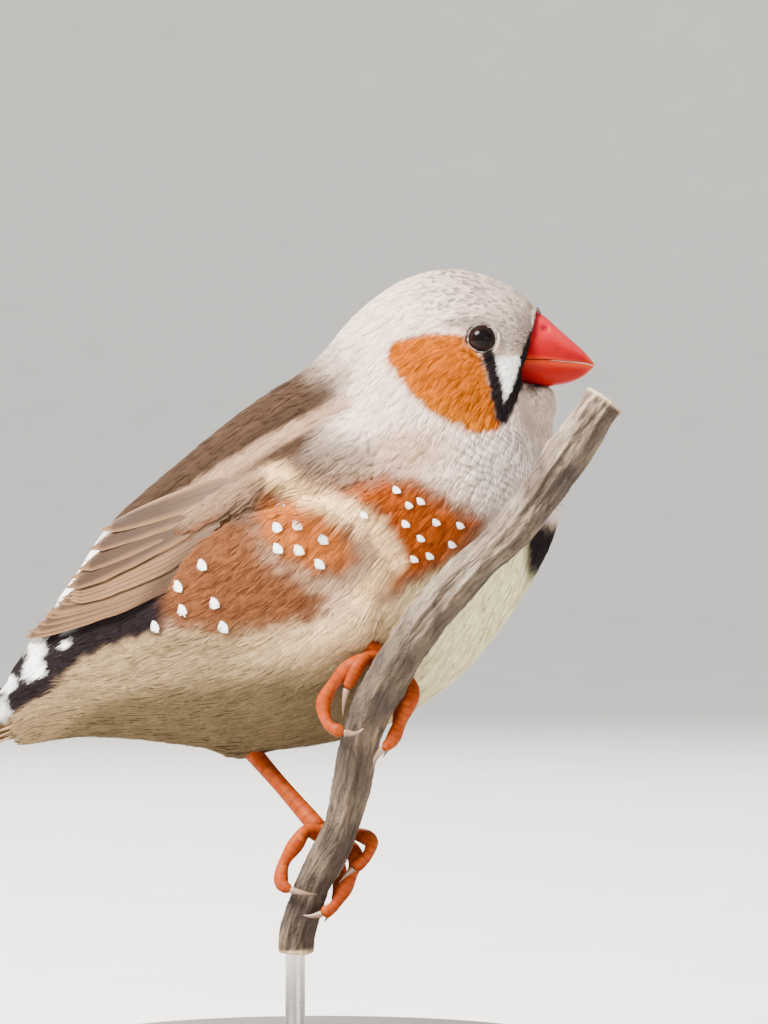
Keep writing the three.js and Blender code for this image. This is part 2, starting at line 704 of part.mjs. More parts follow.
// Stand: a round wooden base and one short metal rod under the branch
const rim = 1.2;
const baseProfile = [
  [0, 0],
  [BASE_RADIUS - 0.6, 0],
  [BASE_RADIUS, 0.6],
  [BASE_RADIUS, BASE_HEIGHT - rim],
  [BASE_RADIUS - rim * 0.35, BASE_HEIGHT - rim * 0.35],
  [BASE_RADIUS - rim, BASE_HEIGHT],
  [0, BASE_HEIGHT],
].map(([r, z]) => new THREE.Vector2(r, z));
add(
  "stand_base",
  solid(new THREE.LatheGeometry(baseProfile, 48).rotateX(Math.PI / 2)),
  materials.base,
);
const rodBottom = BASE_HEIGHT + GAP;
const rodTop = PERCH_FOOT_Z - GAP;
const [rodX, rodY] = BRANCH[0].at;
add(
  "stand_rod",
  solid(
    new THREE.CylinderGeometry(ROD_RADIUS, ROD_RADIUS, rodTop - rodBottom, 20)
      .rotateX(Math.PI / 2)
      .translate(rodX, rodY, (rodTop + rodBottom) / 2),
  ),
  materials.rod,
);

export default finch;
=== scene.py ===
"""A life-size male zebra finch that grips a short cut length of branch on a round display stand."""

import math

import bpy
import numpy as np
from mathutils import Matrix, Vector, noise
from mathutils.bvhtree import BVHTree


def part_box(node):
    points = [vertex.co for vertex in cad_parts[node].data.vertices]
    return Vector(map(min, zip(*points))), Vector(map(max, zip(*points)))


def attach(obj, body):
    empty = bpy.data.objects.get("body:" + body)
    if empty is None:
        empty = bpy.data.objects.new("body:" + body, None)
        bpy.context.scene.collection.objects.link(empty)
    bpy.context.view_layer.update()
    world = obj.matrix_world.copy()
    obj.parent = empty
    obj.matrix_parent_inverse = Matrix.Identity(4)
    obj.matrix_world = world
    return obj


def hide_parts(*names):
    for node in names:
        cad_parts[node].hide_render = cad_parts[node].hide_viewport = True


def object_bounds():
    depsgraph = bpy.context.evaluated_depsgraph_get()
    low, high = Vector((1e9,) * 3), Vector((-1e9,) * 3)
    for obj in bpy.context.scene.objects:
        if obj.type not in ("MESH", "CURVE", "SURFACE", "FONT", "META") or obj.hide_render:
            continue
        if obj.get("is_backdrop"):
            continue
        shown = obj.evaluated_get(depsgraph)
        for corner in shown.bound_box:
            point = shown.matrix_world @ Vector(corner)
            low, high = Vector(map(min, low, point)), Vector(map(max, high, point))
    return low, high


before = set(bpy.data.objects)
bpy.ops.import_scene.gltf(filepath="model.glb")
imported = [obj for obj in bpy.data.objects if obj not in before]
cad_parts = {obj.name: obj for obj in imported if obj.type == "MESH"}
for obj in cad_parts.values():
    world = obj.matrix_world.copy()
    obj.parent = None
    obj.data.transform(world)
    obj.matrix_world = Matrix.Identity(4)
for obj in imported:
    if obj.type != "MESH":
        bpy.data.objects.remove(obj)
cad_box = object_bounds()

# Display base
# A round of dark stained wood, turned on a lathe with a shallow cove under its top, satin lacquered.
# It is a profile spun round the middle axis. It stands on the floor and carries the rod.
MM = 0.001
BASE_PROFILE = [
    (0, 0), (33.2, 0), (33.8, 0.25), (34, 0.8), (34, 1.7), (33.6, 2.2), (33.1, 2.6), (33.1, 3.0),
    (33.5, 3.4), (33.5, 4.0), (33.1, 4.6), (32.4, 4.95), (31.6, 5.0), (0, 5.0),
]


def made_mesh(name, points, faces):
    """A mesh object from points in millimetres and faces of three or four corners each."""
    mesh = bpy.data.meshes.new(name)
    faces = [np.asarray(rows, dtype=np.int32) for rows in faces if len(rows)]
    points = np.asarray(points, dtype=np.float32) * MM
    corners = np.concatenate([rows.ravel() for rows in faces])
    counts = np.concatenate([np.full(len(rows), rows.shape[1]) for rows in faces])
    mesh.vertices.add(len(points))
    mesh.vertices.foreach_set("co", points.ravel())
    mesh.loops.add(len(corners))
    mesh.loops.foreach_set("vertex_index", corners)
    mesh.polygons.add(len(counts))
    mesh.polygons.foreach_set("loop_start", np.concatenate([[0], np.cumsum(counts)[:-1]]))
    mesh.polygons.foreach_set("use_smooth", np.ones(len(counts), dtype=bool))
    mesh.update(calc_edges=True)
    made = bpy.data.objects.new(name, mesh)
    bpy.context.scene.collection.objects.link(made)
    return made


def only(piece):
    """Selects one object alone and makes it the active one."""
    bpy.ops.object.select_all(action="DESELECT")
    piece.select_set(True)
    bpy.context.view_layer.objects.active = piece


def spun(name, rows, steps, size=MM, middle=(0, 0), join=0.00001, inside=False):
    """A profile of (radius, height) spun round an upright axis."""
    profile = bpy.data.meshes.new(name)
    profile.from_pydata(
        [(middle[0] + r * size, middle[1], z * size) for r, z in rows],
        [(k, k + 1) for k in range(len(rows) - 1)],
        [],
    )
    made = bpy.data.objects.new(name, profile)
    bpy.context.scene.collection.objects.link(made)
    only(made)
    bpy.ops.object.mode_set(mode="EDIT")
    bpy.ops.mesh.select_all(action="SELECT")
    bpy.ops.mesh.spin(steps=steps, angle=2 * math.pi, center=(*middle, 0), axis=(0, 0, 1))
    bpy.ops.mesh.select_all(action="SELECT")
    bpy.ops.mesh.remove_doubles(threshold=join)
    bpy.ops.mesh.normals_make_consistent(inside=inside)
    bpy.ops.object.mode_set(mode="OBJECT")
    return made


def fitted(piece, material, slot, *nodes):
    """Gives a finished piece its material, hangs it under the root and hides the nodes it stands for.
    The slot is not used.
    """
    piece.data.materials.clear()
    piece.data.materials.append(material)
    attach(piece, "root")
    if nodes:
        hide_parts(*nodes)


def finish(name, roughness, **sockets):
    """A new material with its principled shader's own sockets set."""
    material = bpy.data.materials.new(name)
    material.use_nodes = True
    shader = material.node_tree.nodes["Principled BSDF"]
    shader.inputs["Roughness"].default_value = roughness
    for socket, value in sockets.items():
        shader.inputs[socket.replace("_", " ")].default_value = value
    return material


def texture(material, kind, vector=None, settings=None, **inputs):
    """A node of the material with its inputs set, read at a vector."""
    made = material.node_tree.nodes.new(kind)
    for key, value in (settings or {}).items():
        setattr(made, key, value)
    for key, value in inputs.items():
        made.inputs[key].default_value = value
    if vector is not None:
        material.node_tree.links.new(vector, made.inputs["Vector"])
    return made


def fed(material, socket, value):
    """Sets a socket to a number or a colour, or links an output to it."""
    if isinstance(value, (int, float)):
        socket.default_value = value
    elif isinstance(value, tuple):
        socket.default_value = (*value, 1)
    else:
        material.node_tree.links.new(value, socket)


def object_place(material, scale):
    """The object's own coordinates, scaled along each axis."""
    place = material.node_tree.nodes.new("ShaderNodeTexCoord")
    stretched = material.node_tree.nodes.new("ShaderNodeMapping")
    stretched.inputs["Scale"].default_value = scale
    material.node_tree.links.new(place.outputs["Object"], stretched.inputs["Vector"])
    return stretched.outputs["Vector"]


def noise_over(material, scale, **inputs):
    """Noise in the object's own coordinates, which are scaled alike or along each axis."""
    place = object_place(material, scale if isinstance(scale, tuple) else (scale, scale, scale))
    return texture(material, "ShaderNodeTexNoise", place, **inputs).outputs["Fac"]


def stored(material, name, output="Fac"):
    """A value or colour that is stored with the mesh."""
    settings = {"attribute_name": name}
    return texture(material, "ShaderNodeAttribute", settings=settings).outputs[output]


def ramp(material, factor, stops):
    """A colour ramp over a factor, with stops of (place, colour)."""
    made = material.node_tree.nodes.new("ShaderNodeValToRGB")
    elements = made.color_ramp.elements
    while len(elements) < len(stops):
        elements.new(0.5)
    for element, (place, colour) in zip(elements, stops):
        element.position = place
        element.color = (*colour, 1)
    material.node_tree.links.new(factor, made.inputs["Fac"])
    return made.outputs["Color"]


def mixed(material, kind, first, second, share):
    """Two colours mixed, the share a number or an output."""
    made = material.node_tree.nodes.new("ShaderNodeMix")
    made.data_type = "RGBA"
    made.blend_type = kind
    for number, value in ((6, first), (7, second), (0, share)):
        fed(material, made.inputs[number], value)
    return made.outputs[2]


def toned(material, tone, factor, stops, share=1.0, kind="MULTIPLY"):
    """A colour mixed with a ramp over a factor."""
    return mixed(material, kind, tone, ramp(material, factor, stops), share)


def shade(material, colour=None, height=None, distance=0.0001, strength=1.0, roughness=None):
    """Joins a colour, a bump height and a roughness to the material's shader."""
    links = material.node_tree.links
    shader = material.node_tree.nodes["Principled BSDF"]
    if colour is not None:
        links.new(colour, shader.inputs["Base Color"])
    if roughness is not None:
        links.new(roughness, shader.inputs["Roughness"])
    if height is not None:
        bump = material.node_tree.nodes.new("ShaderNodeBump")
        bump.inputs["Distance"].default_value = distance
        bump.inputs["Strength"].default_value = strength
        links.new(height, bump.inputs["Height"])
        links.new(bump.outputs["Normal"], shader.inputs["Normal"])


def linear(red, green, blue):
    """A screen colour of 0 to 255 as the linear colour that a shader takes."""
    shares = [value / 255 for value in (red, green, blue)]
    return tuple(s / 12.92 if s <= 0.04045 else ((s + 0.055) / 1.055) ** 2.4 for s in shares)


base = spun("base_wood", BASE_PROFILE, 144)
bpy.ops.object.shade_smooth_by_angle(angle=math.radians(28))

stained = finish("stained_wood", 0.38, Coat_Weight=0.35)
grain = noise_over(stained, (6, 90, 40), Scale=9, Detail=8, Roughness=0.62, Distortion=0.6)
pores = noise_over(stained, (60, 900, 900), Scale=4, Detail=3)
wood = ramp(stained, grain, [
    (0.3, linear(58, 34, 20)), (0.5, linear(92, 56, 33)), (0.66, linear(122, 78, 46)),
])
wood = toned(stained, wood, pores, [(0.35, (0.45, 0.4, 0.36)), (0.5, (1, 1, 1))], 0.6)
shade(stained, wood, pores, 0.00012, 0.35)
fitted(base, stained, "base", "stand_base")

# Rod
# A short straight rod of brushed steel, pressed into the base through a thin turned collar and
# into the cut foot of the branch. It is spun from its profile like the base.
ROD = [(0, 4.6), (2.6, 4.6), (2.6, 5.3), (2.3, 5.7), (1.5, 5.85), (1.3, 6.2), (1.3, 17.6), (0, 17.6)]
rod_low, rod_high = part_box("stand_rod")
rod_middle = (rod_low + rod_high) / 2
rod = spun("rod_steel", ROD, 48, middle=(rod_middle.x, rod_middle.y))
bpy.ops.object.shade_smooth_by_angle(angle=math.radians(30))
steel = finish("brushed_steel", 0.3, Metallic=1.0)
brushed = noise_over(steel, (900, 900, 14000), Scale=1, Detail=2)
steel_tone = ramp(steel, brushed, [(0.3, (0.5, 0.49, 0.47)), (0.7, (0.68, 0.66, 0.63))])
shade(steel, steel_tone, brushed, 0.00002, 0.4)
fitted(rod, steel, "rod", "stand_rod")

# Perch
# The cut length of branch: dry bark with long ridges, fissures and a few peeling fibres over paler
# wood. It is the frame's branch remeshed, then raised and sunk by noise that runs along it.
BRANCH = np.array([
    (-1.7, -8.5, 17.0, 2.5), (-1.6, -8.6, 18.6, 2.5), (0.9, -9.8, 25.8, 2.6), (4.5, -11.2, 32.8, 2.8),
    (6.9, -12.8, 40.6, 2.9), (8.6, -14.0, 47.0, 2.85), (11.8, -16.5, 52.6, 2.95),
    (15.6, -17.5, 58.6, 3.0), (21.3, -17.6, 65.5, 2.85), (28.4, -16.6, 72.4, 2.9),
    (36.3, -14.4, 83.8, 3.0), (39.7, -13.4, 88.7, 3.05),
])
BARK_VOXEL = 0.00028
RIDGE_HEIGHT = 0.34
FISSURE_DEPTH = 0.3
LUMP_HEIGHT = 0.22


def curve(rows, at):
    """Points of a centripetal curve through rows, at places counted in rows."""
    rows = np.asarray(rows, dtype=float)
    at = np.atleast_1d(np.asarray(at, dtype=float))
    padded = np.vstack([2 * rows[0] - rows[1], rows, 2 * rows[-1] - rows[-2]])
    k = np.clip(np.floor(at).astype(int), 0, len(rows) - 2)
    t = np.clip(at - k, 0, 1)[:, None]
    p0, p1, p2, p3 = padded[k], padded[k + 1], padded[k + 2], padded[k + 3]
    d0, d1, d2 = (
        np.maximum(np.linalg.norm(b - a, axis=1), 1e-8)[:, None] ** 0.5
        for a, b in ((p0, p1), (p1, p2), (p2, p3))
    )
    t1 = ((p1 - p0) / d0 - (p2 - p0) / (d0 + d1) + (p2 - p1) / d1) * d1
    t2 = ((p2 - p1) / d1 - (p3 - p1) / (d1 + d2) + (p3 - p2) / d2) * d1
    bend = 3 * (p2 - p1) - 2 * t1 - t2
    return p1 + t1 * t + bend * t**2 + (2 * p1 - 2 * p2 + t1 + t2) * t**3


def unit(vectors):
    """Vectors made one long."""
    return vectors / np.maximum(np.linalg.norm(vectors, axis=-1, keepdims=True), 1e-9)


def node_copy(name, new_name):
    """A CAD node's mesh as an object of its own, with its loose triangles merged."""
    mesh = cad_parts[name].data.copy()
    made = bpy.data.objects.new(new_name, mesh)
    bpy.context.scene.collection.objects.link(made)
    only(made)
    bpy.ops.object.mode_set(mode="EDIT")
    bpy.ops.mesh.select_all(action="SELECT")
    bpy.ops.mesh.remove_doubles(threshold=0.000001)
    bpy.ops.object.mode_set(mode="OBJECT")
    return made


def modified(piece, kind, **values):
    """Adds one modifier to a piece and applies it."""
    only(piece)
    modifier = piece.modifiers.new(kind.lower(), kind)
    for key, value in values.items():
        setattr(modifier, key, value)
    bpy.ops.object.modifier_apply(modifier=modifier.name)


def held(piece, field):
    """Three numbers that a piece holds for each of its points."""
    found = np.empty(len(piece.data.vertices) * 3, dtype=np.float32)
    piece.data.vertices.foreach_get(field, found)
    return found.reshape(-1, 3).astype(float)


def points_of(piece):
    """The points of a piece in millimetres."""
    return held(piece, "co") / MM


def normals_of(piece):
    """The outward directions at the points of a piece."""
    return held(piece, "normal")


def moved_to(piece, points):
    """Moves the points of a piece to places in millimetres."""
    piece.data.vertices.foreach_set("co", (np.asarray(points) * MM).astype(np.float32).ravel())
    piece.data.update()


def valued(piece, name, values):
    """Stores one value for each point of a piece."""
    layer = piece.data.attributes.new(name, "FLOAT", "POINT")
    layer.data.foreach_set("value", values.astype(np.float32))


def turbulence(points, octaves=3):
    """Noise of about -1 to 1 at each point."""
    return np.array([noise.turbulence(Vector(p), octaves, False) for p in points])


dense_places = np.linspace(0, len(BRANCH) - 1, 600)
branch_dense = curve(BRANCH[:, :3], dense_places)
branch_run = np.concatenate([[0], np.cumsum(np.linalg.norm(np.diff(branch_dense, axis=0), axis=1))])
branch_length = branch_run[-1]
# The way from the bird to the camera of the photograph, ten degrees forward of its right side
VIEW = np.array([math.sin(math.radians(10)), -math.cos(math.radians(10)), 0])


def branch_frame(along):
    """Middle, direction, and the two directions across, at heights along the branch."""
    along = np.clip(np.atleast_1d(along), 0, branch_length)
    middle = np.stack([np.interp(along, branch_run, branch_dense[:, k]) for k in range(3)], axis=1)
    step = np.stack([
        np.interp(np.clip(along + 0.5, 0, branch_length), branch_run, branch_dense[:, k])
        - np.interp(np.clip(along - 0.5, 0, branch_length), branch_run, branch_dense[:, k])
        for k in range(3)
    ], axis=1)
    up = unit(step)
    front = unit(VIEW - up * (up @ VIEW)[:, None])
    return middle, up, front, np.cross(front, up)


def bark_place(points):
    """Height along the branch and angle round it of points near it."""
    nearest = np.array([np.argmin(((branch_dense - p) ** 2).sum(axis=1)) for p in points])
    along = branch_run[nearest]
    middle, _, front, rear = branch_frame(along)
    out = points - middle
    turn = np.arctan2((out * rear).sum(axis=1), (out * front).sum(axis=1))
    return along, turn


perch = node_copy("perch", "perch_bark")
modified(perch, "REMESH", mode="VOXEL", voxel_size=BARK_VOXEL)
modified(perch, "SMOOTH", factor=0.5, iterations=6)
bark_points = points_of(perch)
bark_along, bark_turn = bark_place(bark_points)
ridge_at = np.stack([2.6 * np.cos(bark_turn), 2.6 * np.sin(bark_turn), bark_along * 0.16], axis=1)
ridges = turbulence(ridge_at * 0.9 + 5)
fissures = np.abs(turbulence(ridge_at * 1.7 + 31, 2))
lumps = turbulence(bark_points * 0.22 + 11, 2)
cut_end = np.clip(np.minimum(bark_along, branch_length - bark_along) / 0.6, 0, 1)
bark_height = RIDGE_HEIGHT * (ridges - 0.35) - FISSURE_DEPTH * np.clip(0.32 - fissures, 0, 1)
bark_height = cut_end * (bark_height + LUMP_HEIGHT * (lumps - 0.4))
moved_to(perch, bark_points + normals_of(perch) * bark_height[:, None])
# Painted shade: the bark is darkened on its side turned away from the key light and towards its lower
# end
bark_painted_shade = normals_of(perch) @ unit(np.array([0.8, -0.1, -0.6]))
bark_painted_shade = np.maximum(bark_painted_shade, 0) + 0.7 * np.clip((70 - bark_points[:, 2]) / 14, 0, 1)
valued(perch, "bark_ridge", ridges)
valued(perch, "bark_fissure", fissures)
valued(perch, "bark_end", cut_end)
valued(perch, "bark_painted_shade", bark_painted_shade)

bark = finish("bark", 0.85)
fine = noise_over(bark, (900, 900, 420), Scale=1.6, Detail=6, Roughness=0.7)
patches = noise_over(bark, (150, 150, 90), Scale=1.2, Detail=4)
bark_tone = ramp(bark, stored(bark, "bark_ridge"), [
    (0.2, linear(82, 66, 53)), (0.42, linear(118, 99, 82)), (0.62, linear(168, 146, 122)),
])
bark_tone = toned(bark, bark_tone, fine, [
    (0.3, (0.55, 0.5, 0.47)), (0.55, (1, 1, 1)), (0.75, (1.12, 1.1, 1.07)),
], 0.75)
bark_tone = toned(bark, bark_tone, patches, [
    (0.42, linear(96, 78, 64)), (0.5, linear(134, 115, 98)), (0.6, linear(182, 162, 140)),
], 0.45, "MIX")
# The bark's painted shade darkens its side away from the light and its low end
shadow_side = [(0.0, (1, 1, 1)), (0.7, (0.32, 0.28, 0.23))]
bark_tone = toned(bark, bark_tone, stored(bark, "bark_painted_shade"), shadow_side, 0.9)
in_fissure = [(0.04, (0.4, 0.34, 0.3)), (0.3, (1, 1, 1))]
bark_tone = toned(bark, bark_tone, stored(bark, "bark_fissure"), in_fissure, 0.8)
bark_tone = mixed(bark, "MIX", linear(206, 178, 140), bark_tone, stored(bark, "bark_end"))
shade(bark, bark_tone, fine, 0.0003, 0.8)
fitted(perch, bark, "bark", "perch")

# Skin
# The bird's body under its feathers, one closed surface from the face to the tail's root: the
# frame's head, neck, torso and thighs fused, then sunk by the depth of the coat.
FATTEN = 0.0003
SKIN_VOXEL = 0.0005
COAT_DEPTH = 0.45
SKIN_NODES = ("head", "neck", "torso", "thigh_right", "thigh_left")
BILL_CORNER = np.array([28.4, 3.4, 91.8])
CHIN = np.array([30.0, 0.0, 89.4])

flesh = [node_copy(name, "skin_" + name) for name in SKIN_NODES]
for part in flesh:
    modified(part, "DISPLACE", strength=FATTEN, mid_level=0)
bpy.ops.object.select_all(action="DESELECT")
for part in flesh:
    part.select_set(True)
skin = flesh[0]
bpy.context.view_layer.objects.active = skin
bpy.ops.object.join()
skin.name = "skin"
modified(skin, "REMESH", mode="VOXEL", voxel_size=SKIN_VOXEL)
modified(skin, "SMOOTH", factor=0.5, iterations=8)
modified(skin, "DISPLACE", strength=-FATTEN - COAT_DEPTH * MM, mid_level=0)
modified(skin, "SMOOTH", factor=0.5, iterations=3)
skin.data.shade_smooth()
# The skin draws back from the corners of the mouth and closes up to the lower bill at the chin
face = points_of(skin)
for side in (-1, 1):
    away = np.linalg.norm((face - BILL_CORNER * [1, side, 1]) / [3.2, 2.6, 2.4], axis=1)
    face[:, 0] -= 1.2 * np.exp(-away**2)
away = np.linalg.norm((face - CHIN) / [2.6, 3.4, 1.5], axis=1)
face += np.array([0.3, 0, 0.8]) * np.exp(-away**2)[:, None]
moved_to(skin, face)

# Plumage plan
# Sections of the body from the bill's root to the tail's root give every feather its lie, and the
# markings of a male are laid out on the side as it is seen: across in millimetres, and height.
BODY = np.array([
    (29.5, 100.4, 28.6, 90.4, 3.8), (27.6, 102.7, 28.9, 89.1, 5.7), (25.0, 104.5, 29.4, 87.4, 7.0),
    (20.8, 106.1, 29.8, 85.6, 8.1), (16.0, 106.5, 30.4, 83.4, 8.8), (10.4, 104.9, 31.4, 80.9, 9.5),
    (4.6, 100.6, 32.2, 77.8, 10.9), (-1.2, 94.1, 32.2, 74.0, 12.9), (-8.0, 89.8, 30.6, 69.2, 14.5),
    (-14.0, 85.4, 27.0, 62.9, 15.3), (-20.0, 80.5, 20.0, 53.8, 15.5), (-25.2, 76.2, 10.5, 46.8, 15.0),
    (-29.2, 72.2, -1.0, 43.2, 13.6), (-32.4, 67.3, -13.0, 42.7, 11.4), (-35.4, 63.1, -24.0, 43.9, 9.0),
    (-38.4, 58.6, -32.5, 44.2, 6.8), (-42.3, 52.8, -40.3, 43.0, 4.8),
])
TAIL_ROOT = len(BODY) - 1
EGG = 0.1
THROAT = 0.72
LOOK_COS = 0.985
LOOK_SIN = 0.174
body_places = np.linspace(0, TAIL_ROOT, 321)
body_backs = curve(BODY[:, 0:2], body_places)
body_bellies = curve(BODY[:, 2:4], body_places)
body_halves = curve(np.stack([np.arange(len(BODY)), BODY[:, 4]], axis=1), body_places)[:, 1]


def step_up(low, high, value):
    """A smooth step from 0 to 1 between two values, downwards if low is the larger."""
    share = np.clip((value - low) / (high - low), 0, 1)
    return share * share * (3 - 2 * share)


def section(place):
    """Middle (x, z), half height (x, z) and half width of the body at places."""
    back = np.stack([np.interp(place, body_places, body_backs[:, k]) for k in (0, 1)], axis=-1)
    belly = np.stack([np.interp(place, body_places, body_bellies[:, k]) for k in (0, 1)], axis=-1)
    return (back + belly) / 2, (back - belly) / 2, np.interp(place, body_places, body_halves)


def surface(place, angle, side):
    """Points of the body's outside at places and angles from the back (0) to the belly (pi)."""
    middle, up, half = section(place)
    egg = EGG * step_up(5, 9, place)
    belly = np.maximum(0, -np.cos(angle)) * (1 - step_up(5, 7.5, place))
    power = 1 - (1 - THROAT) * step_up(0, 0.4, belly)
    round_share = np.sign(np.sin(angle)) * np.abs(np.sin(angle)) ** power * (1 - egg * np.cos(angle))
    centre = middle + up * np.cos(angle)[..., None]
    return np.stack([centre[..., 0], side * half * round_share, centre[..., 1]], axis=-1)


def seen_at(x, z):
    """Place and angle of the points of the surface that are seen from the side at (x, z)."""
    front = np.zeros_like(x)
    rear = np.full_like(x, TAIL_ROOT)
    for _ in range(16):
        place = (front + rear) / 2
        middle, up, _ = section(place)
        ahead = up[..., 1] * (x - middle[..., 0]) - up[..., 0] * (z - middle[..., 1]) > 0
        rear = np.where(ahead, place, rear)
        front = np.where(ahead, front, place)
    middle, up, half = section(front)
    offset = np.stack([x - middle[..., 0], z - middle[..., 1]], axis=-1)
    height = (offset * up).sum(axis=-1) / (up * up).sum(axis=-1)
    return front, height, half


def body_place(points):
    """Place and angle on the body of points at or near its surface."""
    place, height, half = seen_at(points[..., 0], points[..., 2])
    return place, np.arctan2(np.abs(points[..., 1]) / half, height)


def lie(place, angle, side):
    """The direction in which feathers lie: along the body, away from the bill."""
    behind = surface(np.clip(place + 0.25, 0.3, TAIL_ROOT), angle, side)
    ahead = surface(np.clip(place - 0.25, 0, TAIL_ROOT - 0.3), angle, side)
    return unit(behind - ahead)


def line_distance(s, z, rows):
    """How far points are from a line of short straight pieces."""
    rows = np.asarray(rows, dtype=float)
    nearest = np.full(s.shape, np.inf)
    for (ax, az), (bx, bz) in zip(rows[:-1], rows[1:]):
        ex, ez = bx - ax, bz - az
        share = np.clip(((s - ax) * ex + (z - az) * ez) / (ex * ex + ez * ez), 0, 1)
        nearest = np.minimum(nearest, np.hypot(s - ax - share * ex, z - az - share * ez))
    return nearest


def outline_depth(s, z, outline):
    """How far inside a closed outline points are, negative outside."""
    rows = np.asarray(outline, dtype=float)
    rows = np.vstack([rows, rows[:1]])
    inside = np.zeros(s.shape, dtype=bool)
    for (ax, az), (bx, bz) in zip(rows[:-1], rows[1:]):
        level = ax + (z - az) * (bx - ax) / ((bz - az) if bz != az else 1e-9)
        inside ^= ((az > z) != (bz > z)) & (s < level)
    nearest = line_distance(s, z, rows)
    return np.where(inside, nearest, -nearest)


CHEEK = [
    (9.4, 96.4), (14.0, 97.5), (18.6, 97.3), (20.2, 95.8), (21.4, 93.6), (22.2, 90.6), (22.8, 87.6),
    (23.4, 84.6), (20.2, 84.3), (17.2, 85.6), (14.2, 87.2), (11.6, 89.6), (10.0, 91.9), (8.6, 94.2),
]
CHEEK_BAR = [(21.7, 95.0), (22.7, 91.7), (23.2, 88.4), (23.7, 86.2)]
BILL_BAR = [
    (28.8, 99.2), (27.9, 97.2), (27.0, 95.2), (26.6, 93.2), (25.9, 90.9), (24.9, 88.6), (24.0, 86.8),
]
MOUSTACHE = [
    (22.6, 94.4), (26.6, 94.5), (26.4, 93.0), (25.8, 91.6), (25.2, 90.0), (24.8, 88.4), (24.3, 87.4),
    (23.8, 88.4), (23.6, 90.9), (23.0, 93.0),
]
LORES = [(23.6, 95.0), (23.8, 100.0), (28.4, 101.4), (28.0, 97.0), (27.0, 94.6)]
BEHIND_EYE = [(21.0, 99.2), (18.6, 98.6), (16.6, 98.8)]
BACK_RIDGE = [(3.4, 88.4), (-6.0, 83.6), (-14.0, 78.6), (-21.0, 74.0)]
WING_COVERTS = [(-20.5, 76.0), (-9.0, 81.5), (-5.6, 79.6), (-8.6, 74.2), (-18.0, 70.6)]
SHOULDER = [(-3.4, 83.6), (2.0, 84.6), (7.6, 82.4), (7.2, 78.4), (0.8, 77.6), (-2.6, 79.6)]
FLANK_FRONT = [
    (2.2, 77.5), (8.8, 79.0), (12.8, 78.4), (17.1, 75.6), (21.4, 73.0), (19.9, 70.4), (16.1, 67.1),
    (10.5, 64.3), (5.5, 62.8), (8.3, 65.4), (9.5, 68.2), (7.8, 72.0), (6.2, 73.7), (3.4, 75.2),
]
FLANK_MIDDLE = [
    (-7.0, 76.3), (-2.6, 77.0), (1.3, 74.6), (4.2, 71.3), (5.0, 68.0), (3.3, 66.1), (-0.7, 66.1),
    (-4.6, 68.0), (-7.6, 70.7), (-8.2, 73.9),
]
FLANK_REAR = [
    (-17.8, 71.3), (-13.8, 73.3), (-9.2, 72.0), (-7.2, 68.0), (-2.6, 65.4), (0.7, 62.8),
    (-0.3, 60.5), (-6.6, 59.6), (-12.5, 58.6), (-18.1, 59.5), (-21.4, 61.5), (-19.5, 66.4),
]
EYE_LOOK = (21.4, 97.2)
COVERT_SPOTS = [(-37.8, 53.6, 1.5), (-41.6, 51.4, 1.3), (-42.4, 48.0, 1.3), (-33.6, 56.9, 0.6)]
FLUFF = [(-5.7, 79.1), (-0.7, 76.0), (4.3, 74.1), (7.1, 71.9), (9.8, 68.0), (5.4, 63.2)]
CREAM_LINE = [
    (-46, 44.5), (-42, 46.9), (-35, 51.3), (-32, 54.6), (-26, 57.4), (-20, 58.6), (-8, 59.5),
    (2, 60.5), (9, 63), (16, 67.5), (24, 71), (34, 73.5),
]
GREY = linear(188, 165, 150)
PALE_GREY = linear(220, 196, 179)
BLUE_GREY = linear(198, 184, 177)
ASH = linear(112, 100, 94)
TAUPE = linear(62, 46, 35)
TAUPE_DARK = linear(48, 36, 27)
BEIGE = linear(160, 128, 104)
ORANGE = linear(148, 72, 0)
GOLD = linear(156, 86, 0)
BLACK = linear(26, 20, 22)
WHITE = linear(252, 252, 250)
CHESTNUT = linear(126, 56, 12)
TAWNY = linear(156, 84, 36)
RUST = linear(100, 60, 36)
CREAM = linear(196, 164, 124)
# Shaded buff is a painted shade of the belly's cream
SHADED_BUFF = linear(92, 78, 56)
IVORY = linear(206, 196, 154)
CREST = linear(232, 190, 138)


def seen_across(points):
    """How far points lie across the photograph, the same on both sides."""
    return LOOK_COS * points[..., 0] - LOOK_SIN * np.abs(points[..., 1])


def filled(shape, colour):
    """An array of one colour."""
    return np.broadcast_to(np.array(colour), shape).copy()


def toward(colours, colour, share):
    """Colours moved by a share towards one colour."""
    share = np.clip(share, 0, 1)[..., None]
    return colours * (1 - share) + np.asarray(colour) * share


def flank_marked(colour, s, z, flat, wander):
    """Colours with the chestnut patches of the flank and the pale tuft that parts them."""
    side_share = step_up(0.45, 0.7, flat)
    for patch, tone in ((FLANK_REAR, RUST), (FLANK_MIDDLE, TAWNY), (FLANK_FRONT, CHESTNUT)):
        depth = outline_depth(s, z, patch)
        colour = toward(colour, RUST, step_up(-1.5, 0.8, depth + 0.7 * wander) * side_share * 0.85)
        colour = toward(colour, tone, step_up(-0.6, 2.4, depth + 0.6 * wander) * side_share)
    fluff = line_distance(s, z, FLUFF)
    return toward(colour, CREST, step_up(2.6, 0.2, fluff + 0.5 * wander) * side_share * 0.85)


